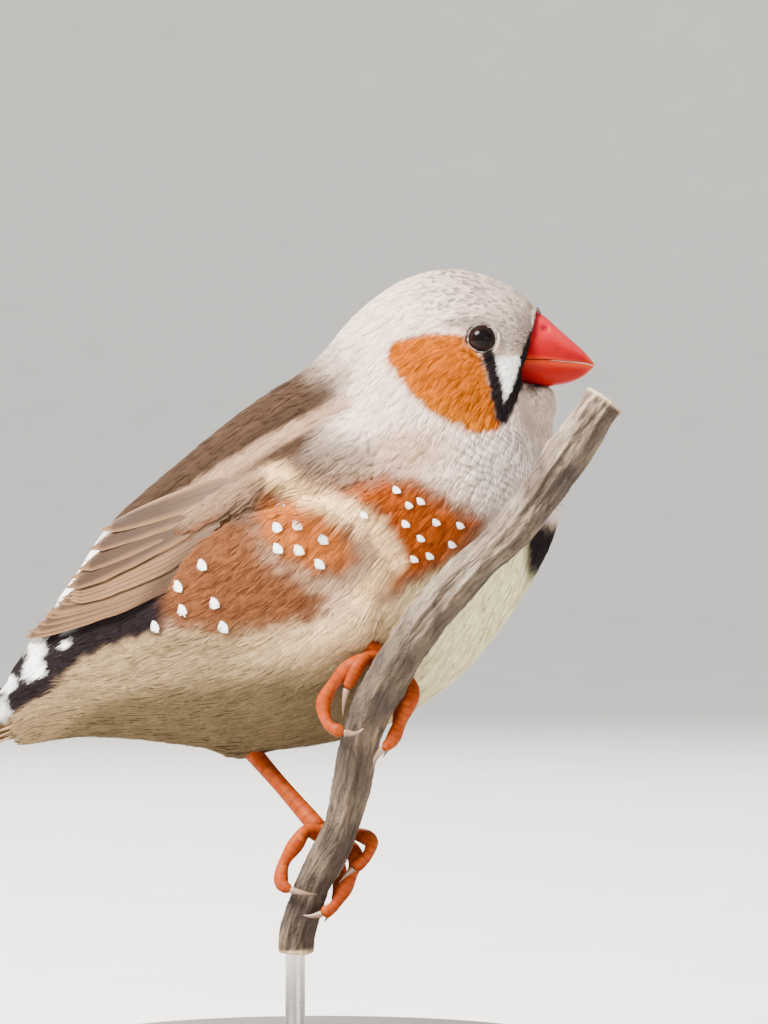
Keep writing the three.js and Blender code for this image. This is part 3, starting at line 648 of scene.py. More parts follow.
def face_marked(colour, s, z, flat, wander):
    """Colours with the orange cheek, the white moustache between black bars and a painted shade of the
    brow above and behind the eye.
    """
    cheek = outline_depth(s, z, CHEEK)
    cheek_share = step_up(-0.2, 0.35, cheek + 0.12 * wander) * step_up(0.3, 0.5, flat)
    colour = toward(colour, ORANGE, cheek_share)
    colour = toward(colour, GOLD, cheek_share * 0.8 * step_up(0, 4, 91.5 - z - 0.5 * (s - 13)))
    moustache = outline_depth(s, z, MOUSTACHE)
    colour = toward(colour, WHITE, step_up(-0.25, 0.3, moustache) * step_up(0.2, 0.4, flat))
    for bar, width in ((CHEEK_BAR, 0.84), (BILL_BAR, 0.72)):
        distance = line_distance(s, z, bar)
        colour = toward(colour, BLACK, step_up(width + 0.2, width - 0.2, distance))
    behind_eye = line_distance(s, z, BEHIND_EYE)
    colour = toward(colour, TAUPE, 0.55 * step_up(0.9, 0.2, behind_eye))
    # Painted shade of the brow darkens the feathers above and behind the eye
    off_s, off_z = s - EYE_LOOK[0], z - EYE_LOOK[1]
    brow_shade_reach = step_up(3.4, 2.0, np.hypot(off_s, off_z))
    return toward(colour, ASH, 0.6 * brow_shade_reach * step_up(-1.2, 0.8, 0.8 * off_z - 0.6 * off_s))


def plumage(points):
    """Colour of the plumage at points of the body's outside, the same on both sides."""
    s, z = seen_across(points), points[..., 2]
    place, angle = body_place(points)
    flat = np.abs(points[..., 1]) / np.maximum(np.interp(place, body_places, body_halves), 1)
    wander = 0.35 * np.sin(1.9 * s + 0.7 * z) + 0.3 * np.sin(2.7 * z - 1.3 * s)
    pale_neck = step_up(3.6, 5.5, place) * (1 - step_up(7, 8.5, place))
    colour = toward(filled(points.shape, GREY), PALE_GREY, 0.8 * pale_neck)
    forehead = step_up(17, 23, s) * step_up(95, 98, z) * (0.6 + 0.4 * np.sin(2.1 * s + 1.3 * z))
    # The forehead's dark streaks are its own colour; the grey where the feathers meet the bill's root is
    # painted shade
    colour = toward(colour, ASH, 0.4 * forehead + 0.4 * step_up(26.8, 28.2, s) * step_up(96, 98, z))
    lores = outline_depth(s, z, LORES)
    colour = toward(colour, ASH, 0.4 * step_up(-0.8, 0.8, lores))
    nape_side = np.hypot((s - 11.6) / 5.4, (z - 82.2) / 2.8)
    colour = toward(colour, BEIGE, 0.85 * step_up(1.5, 0.4, nape_side))
    throat = step_up(17, 22, s) * step_up(88, 84, z) * step_up(4.5, 5.5, place)
    colour = toward(colour, BLUE_GREY, 0.7 * throat)
    mantle_edge = 6.6 + 1.5 * step_up(0.7, 1.2, angle) + 2.4 * step_up(1.2, 1.9, angle)
    mantle = step_up(mantle_edge - 0.5, mantle_edge + 0.9, place + 0.1 * wander)
    colour = toward(colour, TAUPE, mantle * step_up(2.0, 1.6, angle))
    lobe = step_up(-24, -18, s) * step_up(3.0, 1.0, np.abs(z - 81 - 0.62 * (s + 12)))
    colour = toward(colour, TAUPE_DARK, 0.55 * mantle * lobe)
    cream_line = np.interp(s, *np.array(CREAM_LINE).T)
    under = step_up(0.9, -0.9, z - cream_line + 0.7 * wander)
    colour = toward(colour, BEIGE, step_up(7.2, 8.6, place) * step_up(1.1, 1.5, angle) * 0.9)
    ridge = line_distance(s, z, BACK_RIDGE)
    colour = toward(colour, BEIGE, 0.8 * step_up(1.6, 0.4, ridge))
    coverts = outline_depth(s, z, WING_COVERTS)
    colour = toward(colour, BEIGE, 0.45 * step_up(-0.8, 2.4, coverts))
    shoulder = outline_depth(s, z, SHOULDER)
    colour = toward(colour, TAUPE_DARK, 0.5 * step_up(-0.8, 1.2, shoulder))
    colour = toward(colour, CREAM, under)
    # Painted shade: the belly darkens to shaded buff towards its rear and its lowest part
    deep = step_up(0.5, 9, cream_line - z) * step_up(12, 4, s)
    colour = toward(colour, SHADED_BUFF, under * np.maximum(step_up(2, -14, s) * 0.75, deep))
    colour = toward(colour, IVORY, under * step_up(8, 16, s))
    colour = flank_marked(colour, s, z, flat, wander)
    rump = step_up(11.6, 12.4, place) * step_up(1.05, 0.75, angle)
    # A dark wedge below the wing's rear edge, partly black feathers and partly painted shade
    black_and_shade_wedge = step_up(-19.0, -21.5, s) * (1 - under) * step_up(0.7, 0.95, angle)
    colour = toward(colour, BLACK, black_and_shade_wedge)
    colour = toward(colour, WHITE, rump)
    tail_coverts = step_up(13.8, 14.2, place) * (1 - under)
    colour = toward(colour, BLACK, tail_coverts)
    bars = step_up(0.32, 0.18, np.abs(place - 15.0)) * step_up(1.1, 0.9, angle)
    colour = toward(colour, WHITE, tail_coverts * bars)
    for spot_s, spot_z, reach in COVERT_SPOTS:
        distance = np.hypot(s - spot_s, z - spot_z)
        colour = toward(colour, WHITE, step_up(reach + 0.2, reach - 0.2, distance + 0.2 * wander))
    breast = step_up(1.9, 2.2, angle) * step_up(0.9, 0.4, np.abs(place - 8.0)) * step_up(26.0, 27.5, s)
    colour = toward(colour, BLACK, breast)
    return face_marked(colour, s, z, flat, wander)


def tinted(piece, colours):
    """Stores one colour for each point of a piece."""
    layer = piece.data.attributes.new("tint", "FLOAT_COLOR", "POINT")
    values = np.hstack([np.clip(colours, 0, 1), np.ones((len(colours), 1))])
    layer.data.foreach_set("color", values.astype(np.float32).ravel())


# Skin and down show between the feathers, a little darker than they are
DOWN_SHARE = 0.9
skin_points = points_of(skin)
tinted(skin, plumage(skin_points) * DOWN_SHARE)
down = finish("skin_down", 0.9, Specular_IOR_Level=0.05)
down_fuzz = noise_over(down, (1500, 1500, 700), Scale=1, Detail=4)
down_tone = toned(down, stored(down, "tint", "Color"), down_fuzz, [
    (0.3, (0.8, 0.78, 0.76)), (0.7, (1.1, 1.1, 1.1)),
])
shade(down, down_tone, down_fuzz, 0.0003, 0.7)
fitted(skin, down, "body_feathers", *SKIN_NODES)

# Wing beds
# The folded arm of each wing under its feathers, a low pad of skin and muscle on the bird's side
# that runs out to nothing at its front and along both edges.
WING_TOP = [(8.2, 86.4), (2.0, 83.9), (-6.0, 80.0), (-14.0, 76.0), (-20.0, 73.4)]
WING_BOTTOM = [(9.6, 78.6), (4.5, 77.2), (-1.0, 76.8), (-8.0, 74.4), (-14.0, 70.2), (-16.6, 66.8)]
BED_STEPS = 40
BED_CROSS = 18
BED_LIFT = 1.15
BED_SUNK = -0.4
BED_THICK = 0.5


def surface_normal(place, angle, side):
    """The outward direction of the body's surface."""
    along = surface(place + 0.05, angle, side) - surface(place - 0.05, angle, side)
    around = surface(place, angle + 0.02, side) - surface(place, angle - 0.02, side)
    return unit(np.cross(around, along) * np.asarray(side, dtype=float)[..., None])


def on_side(x, z, side, lift):
    """Points seen from the side at (x, z), lifted off the body's surface, and the way out there."""
    place, height, _ = seen_at(x, z)
    angle = np.arccos(np.clip(height, -0.995, 0.995))
    side = np.full(x.shape, float(side))
    out = surface_normal(np.clip(place, 0.06, TAIL_ROOT - 0.06), angle, side)
    return surface(place, angle, side) + out * np.asarray(lift)[..., None], out


def point_on_side(x, z, side, lift=0.0):
    """The same for one point."""
    at, out = on_side(np.array([x]), np.array([z]), side, np.array([lift]))
    return at[0], out[0]


def rim_of(index):
    """The indices round the edge of a grid, in order."""
    return np.concatenate([index[0, :-1], index[:-1, -1], index[-1, :0:-1], index[:0:-1, 0]])


bed_rows = []
for side, side_name in ((-1, "right"), (1, "left")):
    top_line = curve(WING_TOP, np.linspace(0, len(WING_TOP) - 1, BED_STEPS))
    bottom_line = curve(WING_BOTTOM, np.linspace(0, len(WING_BOTTOM) - 1, BED_STEPS))
    across = np.linspace(0, 1, BED_CROSS)
    along = np.linspace(0, 1, BED_STEPS)
    down_bed = across[None, :, None]
    bed = top_line[:, None] * (1 - down_bed) + bottom_line[:, None] * down_bed
    fading = step_up(0, 0.3, along) * (1 - 0.35 * along)
    swell = np.sin(np.pi * across)[None, :] ** 1.3 * fading[:, None]
    outer, _ = on_side(bed[..., 0], bed[..., 1], side, BED_SUNK + (BED_LIFT - BED_SUNK) * swell)
    inner, _ = on_side(bed[..., 0], bed[..., 1], side, np.full(bed.shape[:2], BED_SUNK - BED_THICK))
    index = np.arange(BED_STEPS * BED_CROSS).reshape(BED_STEPS, BED_CROSS)
    corners = [index[:-1, :-1], index[:-1, 1:], index[1:, 1:], index[1:, :-1]]
    outward = np.stack(corners[::side], axis=-1).reshape(-1, 4)
    inward = np.stack(corners[::-side], axis=-1).reshape(-1, 4) + index.size
    rim = rim_of(index)
    after = np.roll(rim, -1)
    wall = np.stack([rim, after, after + index.size, rim + index.size][::-side], axis=-1)
    bed_points = np.concatenate([outer.reshape(-1, 3), inner.reshape(-1, 3)])
    bed_piece = made_mesh("wing_bed_" + side_name, bed_points, [outward, inward, wall])
    tinted(bed_piece, plumage(bed_points) * DOWN_SHARE)
    fitted(bed_piece, down, "wing_feathers")
    bed_rows.append((outer.reshape(-1, 3), outward, normals_of(bed_piece)[:index.size]))

# Body feathers
# Short contour feathers that overlap like tiles along the lie, each a fan of thin, tapering barb
# strips from one root. They are smallest on the face, longest and loosest on the flank and belly.
rng = np.random.default_rng(11)
EYE_SEAT = (22.9, 96.8)
HEAD_CURVE = 8.5
WING_TIP = [(-27.5, 71.0), (-31.0, 63.6), (-37.5, 58.6), (-28.0, 60.6)]
# The skin is first carried over the eye sockets, so that the feathers round the eyes lie flat
for side in (-1, 1):
    seat, out = point_on_side(*EYE_SEAT, side, -COAT_DEPTH)
    off = skin_points - seat
    depth = off @ out
    from_axis = np.linalg.norm(off - depth[:, None] * out, axis=1)
    socket = step_up(3.4, 2.6, from_axis) * (depth > -4)
    filling = socket * np.clip(-from_axis**2 / (2 * HEAD_CURVE) - depth, 0, 4)
    skin_points = skin_points + out * filling[:, None]
moved_to(skin, skin_points)
skin.data.calc_loop_triangles()
triangle_corners = np.empty(len(skin.data.loop_triangles) * 3, dtype=np.int32)
skin.data.loop_triangles.foreach_get("vertices", triangle_corners)
triangle_corners = triangle_corners.reshape(-1, 3)
skin_normals = normals_of(skin)
skin_triangles = len(triangle_corners)
for points, quads, normals in bed_rows:
    split = np.concatenate([quads[:, [0, 1, 2]], quads[:, [0, 2, 3]]]) + len(skin_points)
    triangle_corners = np.concatenate([triangle_corners, split])
    skin_points = np.concatenate([skin_points, points])
    skin_normals = np.concatenate([skin_normals, normals])
skin_tree = BVHTree.FromPolygons(skin_points.tolist(), triangle_corners.tolist())


def sampled(count):
    """Random points of the skin's surface, evenly by area."""
    corners = skin_points[triangle_corners]
    area = np.linalg.norm(np.cross(corners[:, 1] - corners[:, 0], corners[:, 2] - corners[:, 0]), axis=1)
    chosen = rng.choice(len(area), size=count, p=area / area.sum())
    u, v = rng.random((2, count))
    flip = u + v > 1
    u, v = np.where(flip, 1 - u, u), np.where(flip, 1 - v, v)
    a, b, c = (corners[chosen, k] for k in range(3))
    found = a + (b - a) * u[:, None] + (c - a) * v[:, None]
    at = triangle_corners[chosen]
    normals = unit(skin_normals[at[:, 0]] * (1 - u - v)[:, None] + skin_normals[at[:, 1]] * u[:, None]
                   + skin_normals[at[:, 2]] * v[:, None])
    return found, normals, chosen >= skin_triangles


def spaced(points, spacing):
    """Keeps points that are no nearer to each other than the spacing given for each."""
    cell = spacing.max()
    grid = {}
    kept = []
    steps = [(i, j, m) for i in (-1, 0, 1) for j in (-1, 0, 1) for m in (-1, 0, 1)]
    for k, (p, room) in enumerate(zip(points, spacing)):
        key = tuple((p // cell).astype(int))
        near = (q for i, j, m in steps for q in grid.get((key[0] + i, key[1] + j, key[2] + m), ()))
        if all(((points[q] - p) ** 2).sum() >= room * room for q in near):
            grid.setdefault(key, []).append(k)
            kept.append(k)
    return np.array(kept)


def snapped(points):
    """The nearest points of the skin, with its outward direction there."""
    found = [skin_tree.find_nearest(Vector(p)) for p in points]
    return np.array([tuple(f[0]) for f in found]), np.array([tuple(f[1]) for f in found])


def seen_skin(x, z, side):
    """The outermost point of the skin or a bed at (x, z) from the side, and the way out there."""
    hit, out, _, _ = skin_tree.ray_cast(Vector((x, side * 40, z)), Vector((0, -side, 0)))
    return np.array(hit), np.array(out)


# Each kind of body feather in millimetres: length, width, lift of its tip, and its barb strips. Loose
# feathers wag, droop at their edges and catch the light unevenly; smooth ones end in broad barbs.
LOOSE = dict(wag=0.12, droop=0.1, roll=0.42, rough=0.12, above=0, widths=(0.7, 1.1, 0.85))
SMOOTH = dict(wag=0.02, droop=0.02, roll=0.12, rough=0.02, above=0.4, widths=(0.7, 1.1, 1.9))
FEATHER_KINDS = {
    "face": dict(LOOSE, length=1.15, width=0.5, lift=0.1, strips=5, barb=0.058, spacing=0.38),
    "crown": dict(LOOSE, length=2.0, width=0.85, lift=0.15, strips=6, barb=0.068, spacing=0.5),
    "neck": dict(LOOSE, length=3.0, width=1.4, lift=0.22, strips=8, barb=0.09, spacing=0.68),
    "back": dict(LOOSE, length=4.4, width=2.2, lift=0.18, strips=11, barb=0.11, spacing=0.9),
    "flank": dict(LOOSE, length=3.6, width=1.8, lift=0.26, strips=9, barb=0.105, spacing=0.76),
    "belly": dict(LOOSE, length=4.6, width=2.0, lift=0.3, strips=9, barb=0.11, spacing=0.88),
    "fluff": dict(LOOSE, length=5.2, width=2.0, lift=1.3, strips=12, barb=0.07, spacing=0.8),
    "spot": dict(SMOOTH, length=4.0, width=2.0, lift=0.05, strips=15, barb=0.11),
}
HEAD_KINDS = ("face", "crown", "neck")
CANDIDATES = 90000
BILL_ROOT = (26.0, 95.6)
BILL_ROOT_HALVES = (3.5, 4.9)
TAIL_BARE = -41.2
WING_SOFT = -13.0
EYE_BARE = 1.8
EYE_FRINGE = 3.6
FRINGE_SPACING = 0.34


def feather_kinds(points):
    """The kind of feather at each point, by its name."""
    place, angle = body_place(points)
    s, z = seen_across(points), points[:, 2]
    kind = np.full(len(points), "neck", dtype=object)
    kind[place < 4.9] = "crown"
    kind[(place < 2.6) | (s > 20.5) & (z > 84) & (place < 5)] = "face"
    kind[(place > 7.6) & (angle < 1.25)] = "back"
    kind[(place > 8.0) & (angle >= 1.25)] = "flank"
    kind[(z < np.interp(s, *np.array(CREAM_LINE).T) - 0.5) & (place > 8.2)] = "belly"
    kind[(line_distance(s, z, FLUFF[:5]) < 0.7) & (np.abs(points[:, 1]) > 9)] = "fluff"
    return kind


candidates, candidate_normals, on_bed = sampled(CANDIDATES)
kinds = feather_kinds(candidates)
spacing = np.array([FEATHER_KINDS[kind]["spacing"] for kind in kinds])
eye_points = [point_on_side(*EYE_SEAT, side)[0] for side in (-1, 1)]
from_eye = np.min([np.linalg.norm(candidates - p, axis=1) for p in eye_points], axis=0)
wing_outline = WING_TOP + WING_TIP + WING_BOTTOM[::-1]
under_wing = outline_depth(candidates[:, 0], candidates[:, 2], wing_outline)
# No feathers grow under the bill, at the tail's root or under the hard vanes of the wings
bill_root = candidates[:, 1:] - [0, BILL_ROOT[1]]
bill_root = ((bill_root / BILL_ROOT_HALVES) ** 2).sum(axis=1)
bill_hole = (candidates[:, 0] > BILL_ROOT[0]) & (bill_root < 1)
tail_hole = candidates[:, 0] < TAIL_BARE
soft_part = (candidates[:, 0] > WING_SOFT) | (under_wing < 0.9)
shown = np.ones(len(candidates), dtype=bool)
for k in np.flatnonzero(on_bed | (under_wing > -1)):
    x, y, z = candidates[k]
    shown[k] = abs(seen_skin(x, z, np.sign(y))[0][1] - y) < 0.2
open_skin = soft_part & shown & (from_eye > EYE_BARE) & ~bill_hole & ~tail_hole
candidates, candidate_normals = candidates[open_skin], candidate_normals[open_skin]
kinds, spacing = kinds[open_skin], spacing[open_skin]
spacing = np.where(from_eye[open_skin] < EYE_FRINGE, FRINGE_SPACING, spacing)
kept = spaced(candidates, spacing)
roots, root_normals, root_kinds = candidates[kept], candidate_normals[kept], kinds[kept]

# Each pale spot of the flank is the end of one broad feather that lies over its neighbours. The
# spots are placed as they are seen: across in millimetres, and height.
FLANK_SPOTS = [
    (-14.9, 70.4), (-15.1, 67.4), (-18.3, 64.7), (-17.7, 61.6), (-13.5, 62.5), (-12.4, 59.5),
    (-21.3, 59.4), (-5.3, 72.2), (-2.7, 72.5), (-5.3, 69.6), (-2.6, 69.4), (0.6, 70.7), (0.1, 67.6),
    (-4.9, 75.0), (5.8, 73.8), (9.8, 76.7), (11.4, 75.0), (12.9, 75.5), (11.1, 72.7), (15.0, 72.9),
    (18.1, 72.5), (13.0, 70.9), (17.0, 70.1), (14.2, 68.6), (12.2, 68.2),
]
SPOT_SIZES = [0.78] * 7 + [0.74] * 7 + [0.5] * 11
SPOT_CENTRE = 0.78
SPOT_REACH = 0.23
spot_roots, spot_normals = [], []
for side in (-1, 1):
    for (spot_s, spot_z), spot_size in zip(FLANK_SPOTS, SPOT_SIZES):
        spot_x = spot_s / LOOK_COS
        for _ in range(4):
            spot_at, _ = seen_skin(spot_x, spot_z, side)
            spot_x = (spot_s + LOOK_SIN * abs(spot_at[1])) / LOOK_COS
        spot_place, spot_angle = body_place(spot_at[None])
        spot_lie = lie(spot_place, spot_angle, np.array([float(side)]))[0]
        spot_length = FEATHER_KINDS["spot"]["length"] * spot_size
        root_x, _, root_z = spot_at - spot_lie * spot_length * SPOT_CENTRE
        root_at, root_out = seen_skin(root_x, root_z, side)
        spot_roots.append(root_at)
        spot_normals.append(root_out)
spot_roots, spot_normals = np.array(spot_roots), np.array(spot_normals)
root_grow = np.concatenate([rng.uniform(0.85, 1.15, len(roots)), SPOT_SIZES, SPOT_SIZES])
roots = np.concatenate([roots, spot_roots])
root_normals = np.concatenate([root_normals, spot_normals])
root_kinds = np.concatenate([root_kinds, np.full(len(spot_roots), "spot", dtype=object)])

# A strip has four stations from its root to its tip, the first three a ring of three points each.
# At the stations it spreads from the feather's middle, rises to its lift and gets paler.
STATIONS = np.array([0.0, 0.42, 0.8, 1.0])
SPREAD = np.array([0.3, 0.85, 1.0, 0.85])
RISE = np.array([-0.5, 0.4, 0.85, 1.0])
TONES = np.array([0.66, 0.88, 1.02, 1.08])
STRIP_PROFILE = ((-1, -0.4), (0, 0.6), (1, -0.4))
STRIP_TRIANGLES = 16
FEATHER_PATCH = 0.003
FLECK = (0.1, 0.087, 0.078)


def per_point(values):
    """Values of each strip at its stations, repeated for the points of its rings."""
    values = values.reshape(-1, 4, 3)
    return np.concatenate([np.repeat(values[:, :3], 3, axis=1), values[:, 3:]], axis=1).reshape(-1, 3)


def laid(at, normal, along, length, place, angle, side):
    """Feathers' middles at their stations on the skin, with the ways out, along and across there."""
    centres, normals = [at], [normal]
    for reach in STATIONS[1:]:
        near, out = snapped(at + along * (length * reach)[:, None])
        centres.append(near)
        normals.append(out)
    centres = np.stack(centres, axis=1)
    normals = unit(np.stack(normals, axis=1))
    inner_place = np.clip(place, 0.1, TAIL_ROOT - 0.1)
    body_out = surface_normal(inner_place, np.clip(angle, 0.05, 3.1), side)[:, None]
    # The skin's own direction counts where it agrees with the body's, mostly on the head
    trust = step_up(0.5, 0.9, (normals * body_out).sum(axis=-1, keepdims=True))
    trust = trust * np.where(place > 5, 0.25, 1)[:, None, None]
    normals = unit(normals * trust + body_out * (1 - trust))
    forward = unit(np.gradient(centres, axis=1))
    across = unit(np.cross(normals, forward))
    return centres, unit(np.cross(forward, across)), forward, across


def strip_mesh(name, centre, normals, across, half):
    """One mesh of closed strips round the middles of their stations, of so much half width."""
    thick = np.clip(0.4 * half, 0.02, 0.05)
    rings = []
    for u, v in STRIP_PROFILE:
        aside = across[:, None, :3] * (u * half)[..., None]
        rings.append(centre[:, :, :3] + aside + normals[:, None, :3] * (v * thick)[..., None])
    rings = np.stack(rings, axis=3).reshape(-1, 9, 3)
    points = np.concatenate([rings, centre[:, :, 3].reshape(-1, 1, 3)], axis=1)
    quads = np.array([
        (r + k, r + 3 + k, r + 3 + (k + 1) % 3, r + (k + 1) % 3) for r in (0, 3) for k in range(3)
    ])
    triangles = np.array([(7, 6, 9), (8, 7, 9), (6, 8, 9), (0, 1, 2)])
    start = (np.arange(len(points)) * 10)[:, None, None]
    faces = [(start + quads).reshape(-1, 4), (start + triangles).reshape(-1, 3)]
    return made_mesh(name, points.reshape(-1, 3), faces)


def feather_map(piece, place, angle, side, offset):
    """The bake map, with a small patch for each feather at its place and angle on the body."""
    left = 0.5 + side * angle / (2 * math.pi) * 0.98
    low = 0.01 + 0.98 * place / TAIL_ROOT
    nudge = np.array([-0.05, 0, 0.05] * 3 + [0])
    across_share = np.clip(0.5 + offset / 2.4, 0, 1)[..., None] + nudge
    down_share = np.repeat(STATIONS, [3, 3, 3, 1]) * np.ones((*offset.shape, 1))
    u = left[:, None, None] + FEATHER_PATCH * across_share
    v = low[:, None, None] + FEATHER_PATCH * down_share
    mapped(piece, np.stack([u, v], axis=-1).reshape(-1, 2))


def fan_feathers(name, at, normal, grow, kind):
    """One joined mesh of fan feathers of a kind, with their colours and their bake map."""
    size = FEATHER_KINDS[kind]
    count, strips = len(at), size["strips"]
    place, angle = body_place(at)
    side = np.where(at[:, 1] < 0, -1.0, 1.0)
    along = lie(place, angle, side)
    wag = rng.normal(0, size["wag"], count)
    along = unit(along - normal * (along * normal).sum(axis=1, keepdims=True))
    across = np.cross(normal, along)
    along = unit(along + across * wag[:, None])
    if kind == "face":
        grow = grow * np.clip(0.75 + 0.25 * (place - 0.5), 0.7, 1.25)
    length = size["length"] * grow
    width = size["width"] * grow
    centres, normals, forward, across = laid(at, normal, along, length, place, angle, side)
    rise = rng.uniform(0.8, 1.2, (count, 1))
    fractions = (np.arange(strips) + 0.5) / strips * 2 - 1
    offset = fractions[None, :] + rng.normal(0, 0.12, (count, strips))
    tip_share = np.clip(1 - 0.3 * offset**2 + rng.normal(0, 0.035, (count, strips)), 0.45, 1.2)
    wanted = STATIONS * tip_share[..., None]
    if kind == "spot":
        round_off = SPOT_REACH * np.sqrt(np.clip(1 - offset**2, 0.02, 1))
        round_off = round_off + rng.normal(0, 0.008, offset.shape)
        wanted = SPOT_CENTRE + round_off[..., None] * np.array([0, -1, -0.8, 1])
        wanted[..., 0] = 0
    shape = (count, strips, len(STATIONS), 3)
    low = np.clip(np.searchsorted(STATIONS, wanted, side="right") - 1, 0, len(STATIONS) - 2)
    beyond = ((wanted - STATIONS[low]) / (STATIONS[low + 1] - STATIONS[low]))[..., None]
    each = np.arange(count)[:, None, None]
    centre = centres[each, low] * (1 - beyond) + centres[each, low + 1] * beyond
    shift = offset[..., None] * SPREAD * (width / 2)[:, None, None]
    centre = centre + across[:, None] * shift[..., None]
    height = size["lift"] * RISE * rise[:, :, None]
    height = height - size["droop"] * width[:, None, None] * (offset**2)[..., None]
    height = height + size["above"] * np.array([0, 1, 1, 0.9])
    height = height + rng.normal(0, 0.06 * size["lift"], (count, strips, 1)) * STATIONS
    centre = centre + normals[:, None] * height[..., None]
    half = size["barb"] * np.array(size["widths"]) * rng.uniform(0.75, 1.25, (count, strips, 1))
    made = strip_mesh(name, centre, normals, across, half)
    roll = offset[..., None, None] * size["roll"] + rng.normal(0, size["rough"], (count, strips, 1, 1))
    smooth = normals[:, None] + across[:, None] * roll + forward[:, None] * 0.12
    smooth = unit(per_point(np.broadcast_to(smooth, shape)))
    made.data.normals_split_custom_set_from_vertices(smooth.astype(np.float32))
    seen = centre + rng.normal(0, 0.09, (count, 1, 1, 3))
    colour = plumage(seen.reshape(-1, 3)).reshape(shape)
    if kind in ("crown", "face"):
        colour = mottled(colour, seen)
    colour = colour * TONES[:, None] * rng.uniform(0.93, 1.07, (count, strips, 1, 1))
    colour = colour * rng.uniform(0.94, 1.06, (count, 1, 1, 1))
    if kind == "spot":
        colour = toward(colour, WHITE, np.array([0, 0, 0.95, 0.95]))
    tinted(made, per_point(colour))
    if kind in HEAD_KINDS:
        barred(made, per_point(centre))
    feather_map(made, place, angle, side, offset)
    return made


def mottled(colour, seen):
    """Adds the dark mottles of the forehead and crown, feather by feather."""
    s, z = seen_across(seen), seen[..., 2]
    crown = step_up(9, 16, s) * step_up(96.2, 98, z + 0.35 * (s - 22))
    streaks = np.sin(2.4 * s + 1.4 * np.sin(1.1 * z)) * np.sin(1.9 * z + 0.9 * s)
    speck = rng.random(colour.shape[:1] + (1, 1)) < 0.26 + 0.5 * step_up(0, 0.6, streaks)
    middle = np.abs(np.linspace(-1, 1, colour.shape[1]))[:, None] < 0.8
    return toward(colour, FLECK, 0.8 * crown * speck * middle * np.array([0.3, 0.8, 1, 0.8]))


def barred(piece, points):
    """Stores how far along the body each point is and how much of the throat's bars it has."""
    place, angle = body_place(points)
    s, z = seen_across(points), points[:, 2]
    share = step_up(13, 20, s) * step_up(88.6, 86.2, z) * step_up(72.5, 75.5, z)
    valued(piece, "bar_run", place + 0.04 * np.sin(9 * angle))
    valued(piece, "bar_share", share * step_up(0.3, -0.3, outline_depth(s, z, CHEEK)))


def mapped(piece, places, name="OFBake"):
    """A UV map from one place for each point."""
    layer = piece.data.uv_layers.new(name=name)
    corners = np.empty(len(piece.data.loops), dtype=np.int32)
    piece.data.loops.foreach_get("vertex_index", corners)
    layer.data.foreach_set("uv", places[corners].astype(np.float32).ravel())


def worked(material, operation, *values):
    """The output of a sum on numbers and other outputs."""
    made = texture(material, "ShaderNodeMath", settings={"operation": operation})
    for socket, value in zip(made.inputs, values):
        fed(material, socket, value)
    return made.outputs[0]


# The throat's fine dark bars are waves along the body that wander and come in clumps
BARS_PER_SECTION = 5.5
BAR_PUSH = 11.0
plume = finish("body_feathers", 0.85, Specular_IOR_Level=0.03)
plume_fine = noise_over(plume, (2600, 2600, 1300), Scale=1, Detail=3)
plume_soft = noise_over(plume, 260, Scale=1, Detail=3)
plume_tone = toned(plume, stored(plume, "tint", "Color"), plume_fine, [
    (0.3, (0.84, 0.83, 0.82)), (0.65, (1.06, 1.06, 1.06)),
])
plume_tone = toned(plume, plume_tone, plume_soft, [
    (0.3, (0.88, 0.87, 0.88)), (0.7, (1.08, 1.07, 1.06)),
])
bar_push = worked(plume, "MULTIPLY", noise_over(plume, 420, Scale=1, Detail=2), BAR_PUSH)
bar_turns = BARS_PER_SECTION * 2 * math.pi
bar_turn = worked(plume, "MULTIPLY_ADD", stored(plume, "bar_run"), bar_turns, bar_push)
bar_dark = ramp(plume, worked(plume, "SINE", bar_turn), [(0.0, (1, 1, 1)), (0.8, (0.56, 0.55, 0.57))])
bar_clumps = noise_over(plume, 190, Scale=1, Detail=2)
bar_mask = ramp(plume, bar_clumps, [(0.38, (0.25, 0.25, 0.25)), (0.6, (1, 1, 1))])
bar_reach = worked(plume, "MULTIPLY", stored(plume, "bar_share"), bar_mask)
plume_tone = mixed(plume, "MULTIPLY", plume_tone, bar_dark, bar_reach)
shade(plume, plume_tone, plume_fine, 0.00006, 0.5)

MOST_TRIANGLES = 190000
for kind, size in FEATHER_KINDS.items():
    chosen = np.flatnonzero(root_kinds == kind)
    order = chosen[np.argsort(roots[chosen, 1])]
    shares = math.ceil(len(chosen) * size["strips"] * STRIP_TRIANGLES / MOST_TRIANGLES)
    for part, rows in enumerate(np.array_split(order, max(shares, 1))):
        name = f"feathers_{kind}_{part + 1}"
        coat = fan_feathers(name, roots[rows], root_normals[rows], root_grow[rows], kind)
        slot = "grey_feathers" if kind in HEAD_KINDS else "body_feathers"
        fitted(coat, plume, "cream_feathers" if kind == "belly" else slot)

# Wings
# The vanes of each folded wing in three tiers, primaries, secondaries and tertials, every one with a
# shaft and two webs of barbs. The soft coverts on the wing's bed lie over their roots.
WING_TIERS = [
    dict(count=9, half=1.35, tilt=-0.12, thick=0.16, pale=0.75, inner_dark=1.0, tone=1.0,
         roots=[(-14.5, 68.8, 0.4), (-16.5, 64.8, 0.2)], tips=[(-33.0, 62.6, 1.2), (-39.0, 57.2, 0.8)]),
    dict(count=6, half=1.6, tilt=-0.14, thick=0.16, pale=0.95, inner_dark=1.0, tone=1.0,
         roots=[(-9.0, 75.6, 0.4), (-13.5, 69.6, 0.4)], tips=[(-31.4, 65.0, 1.45), (-31.0, 62.4, 1.2)]),
    dict(count=4, half=2.0, tilt=-0.18, thick=0.18, pale=1.0, inner_dark=0.4, tone=0.78,
         roots=[(-5.0, 80.0, -0.5), (-9.0, 75.8, 0.3)], tips=[(-27.0, 71.4, 1.75), (-31.6, 64.0, 1.7)]),
]
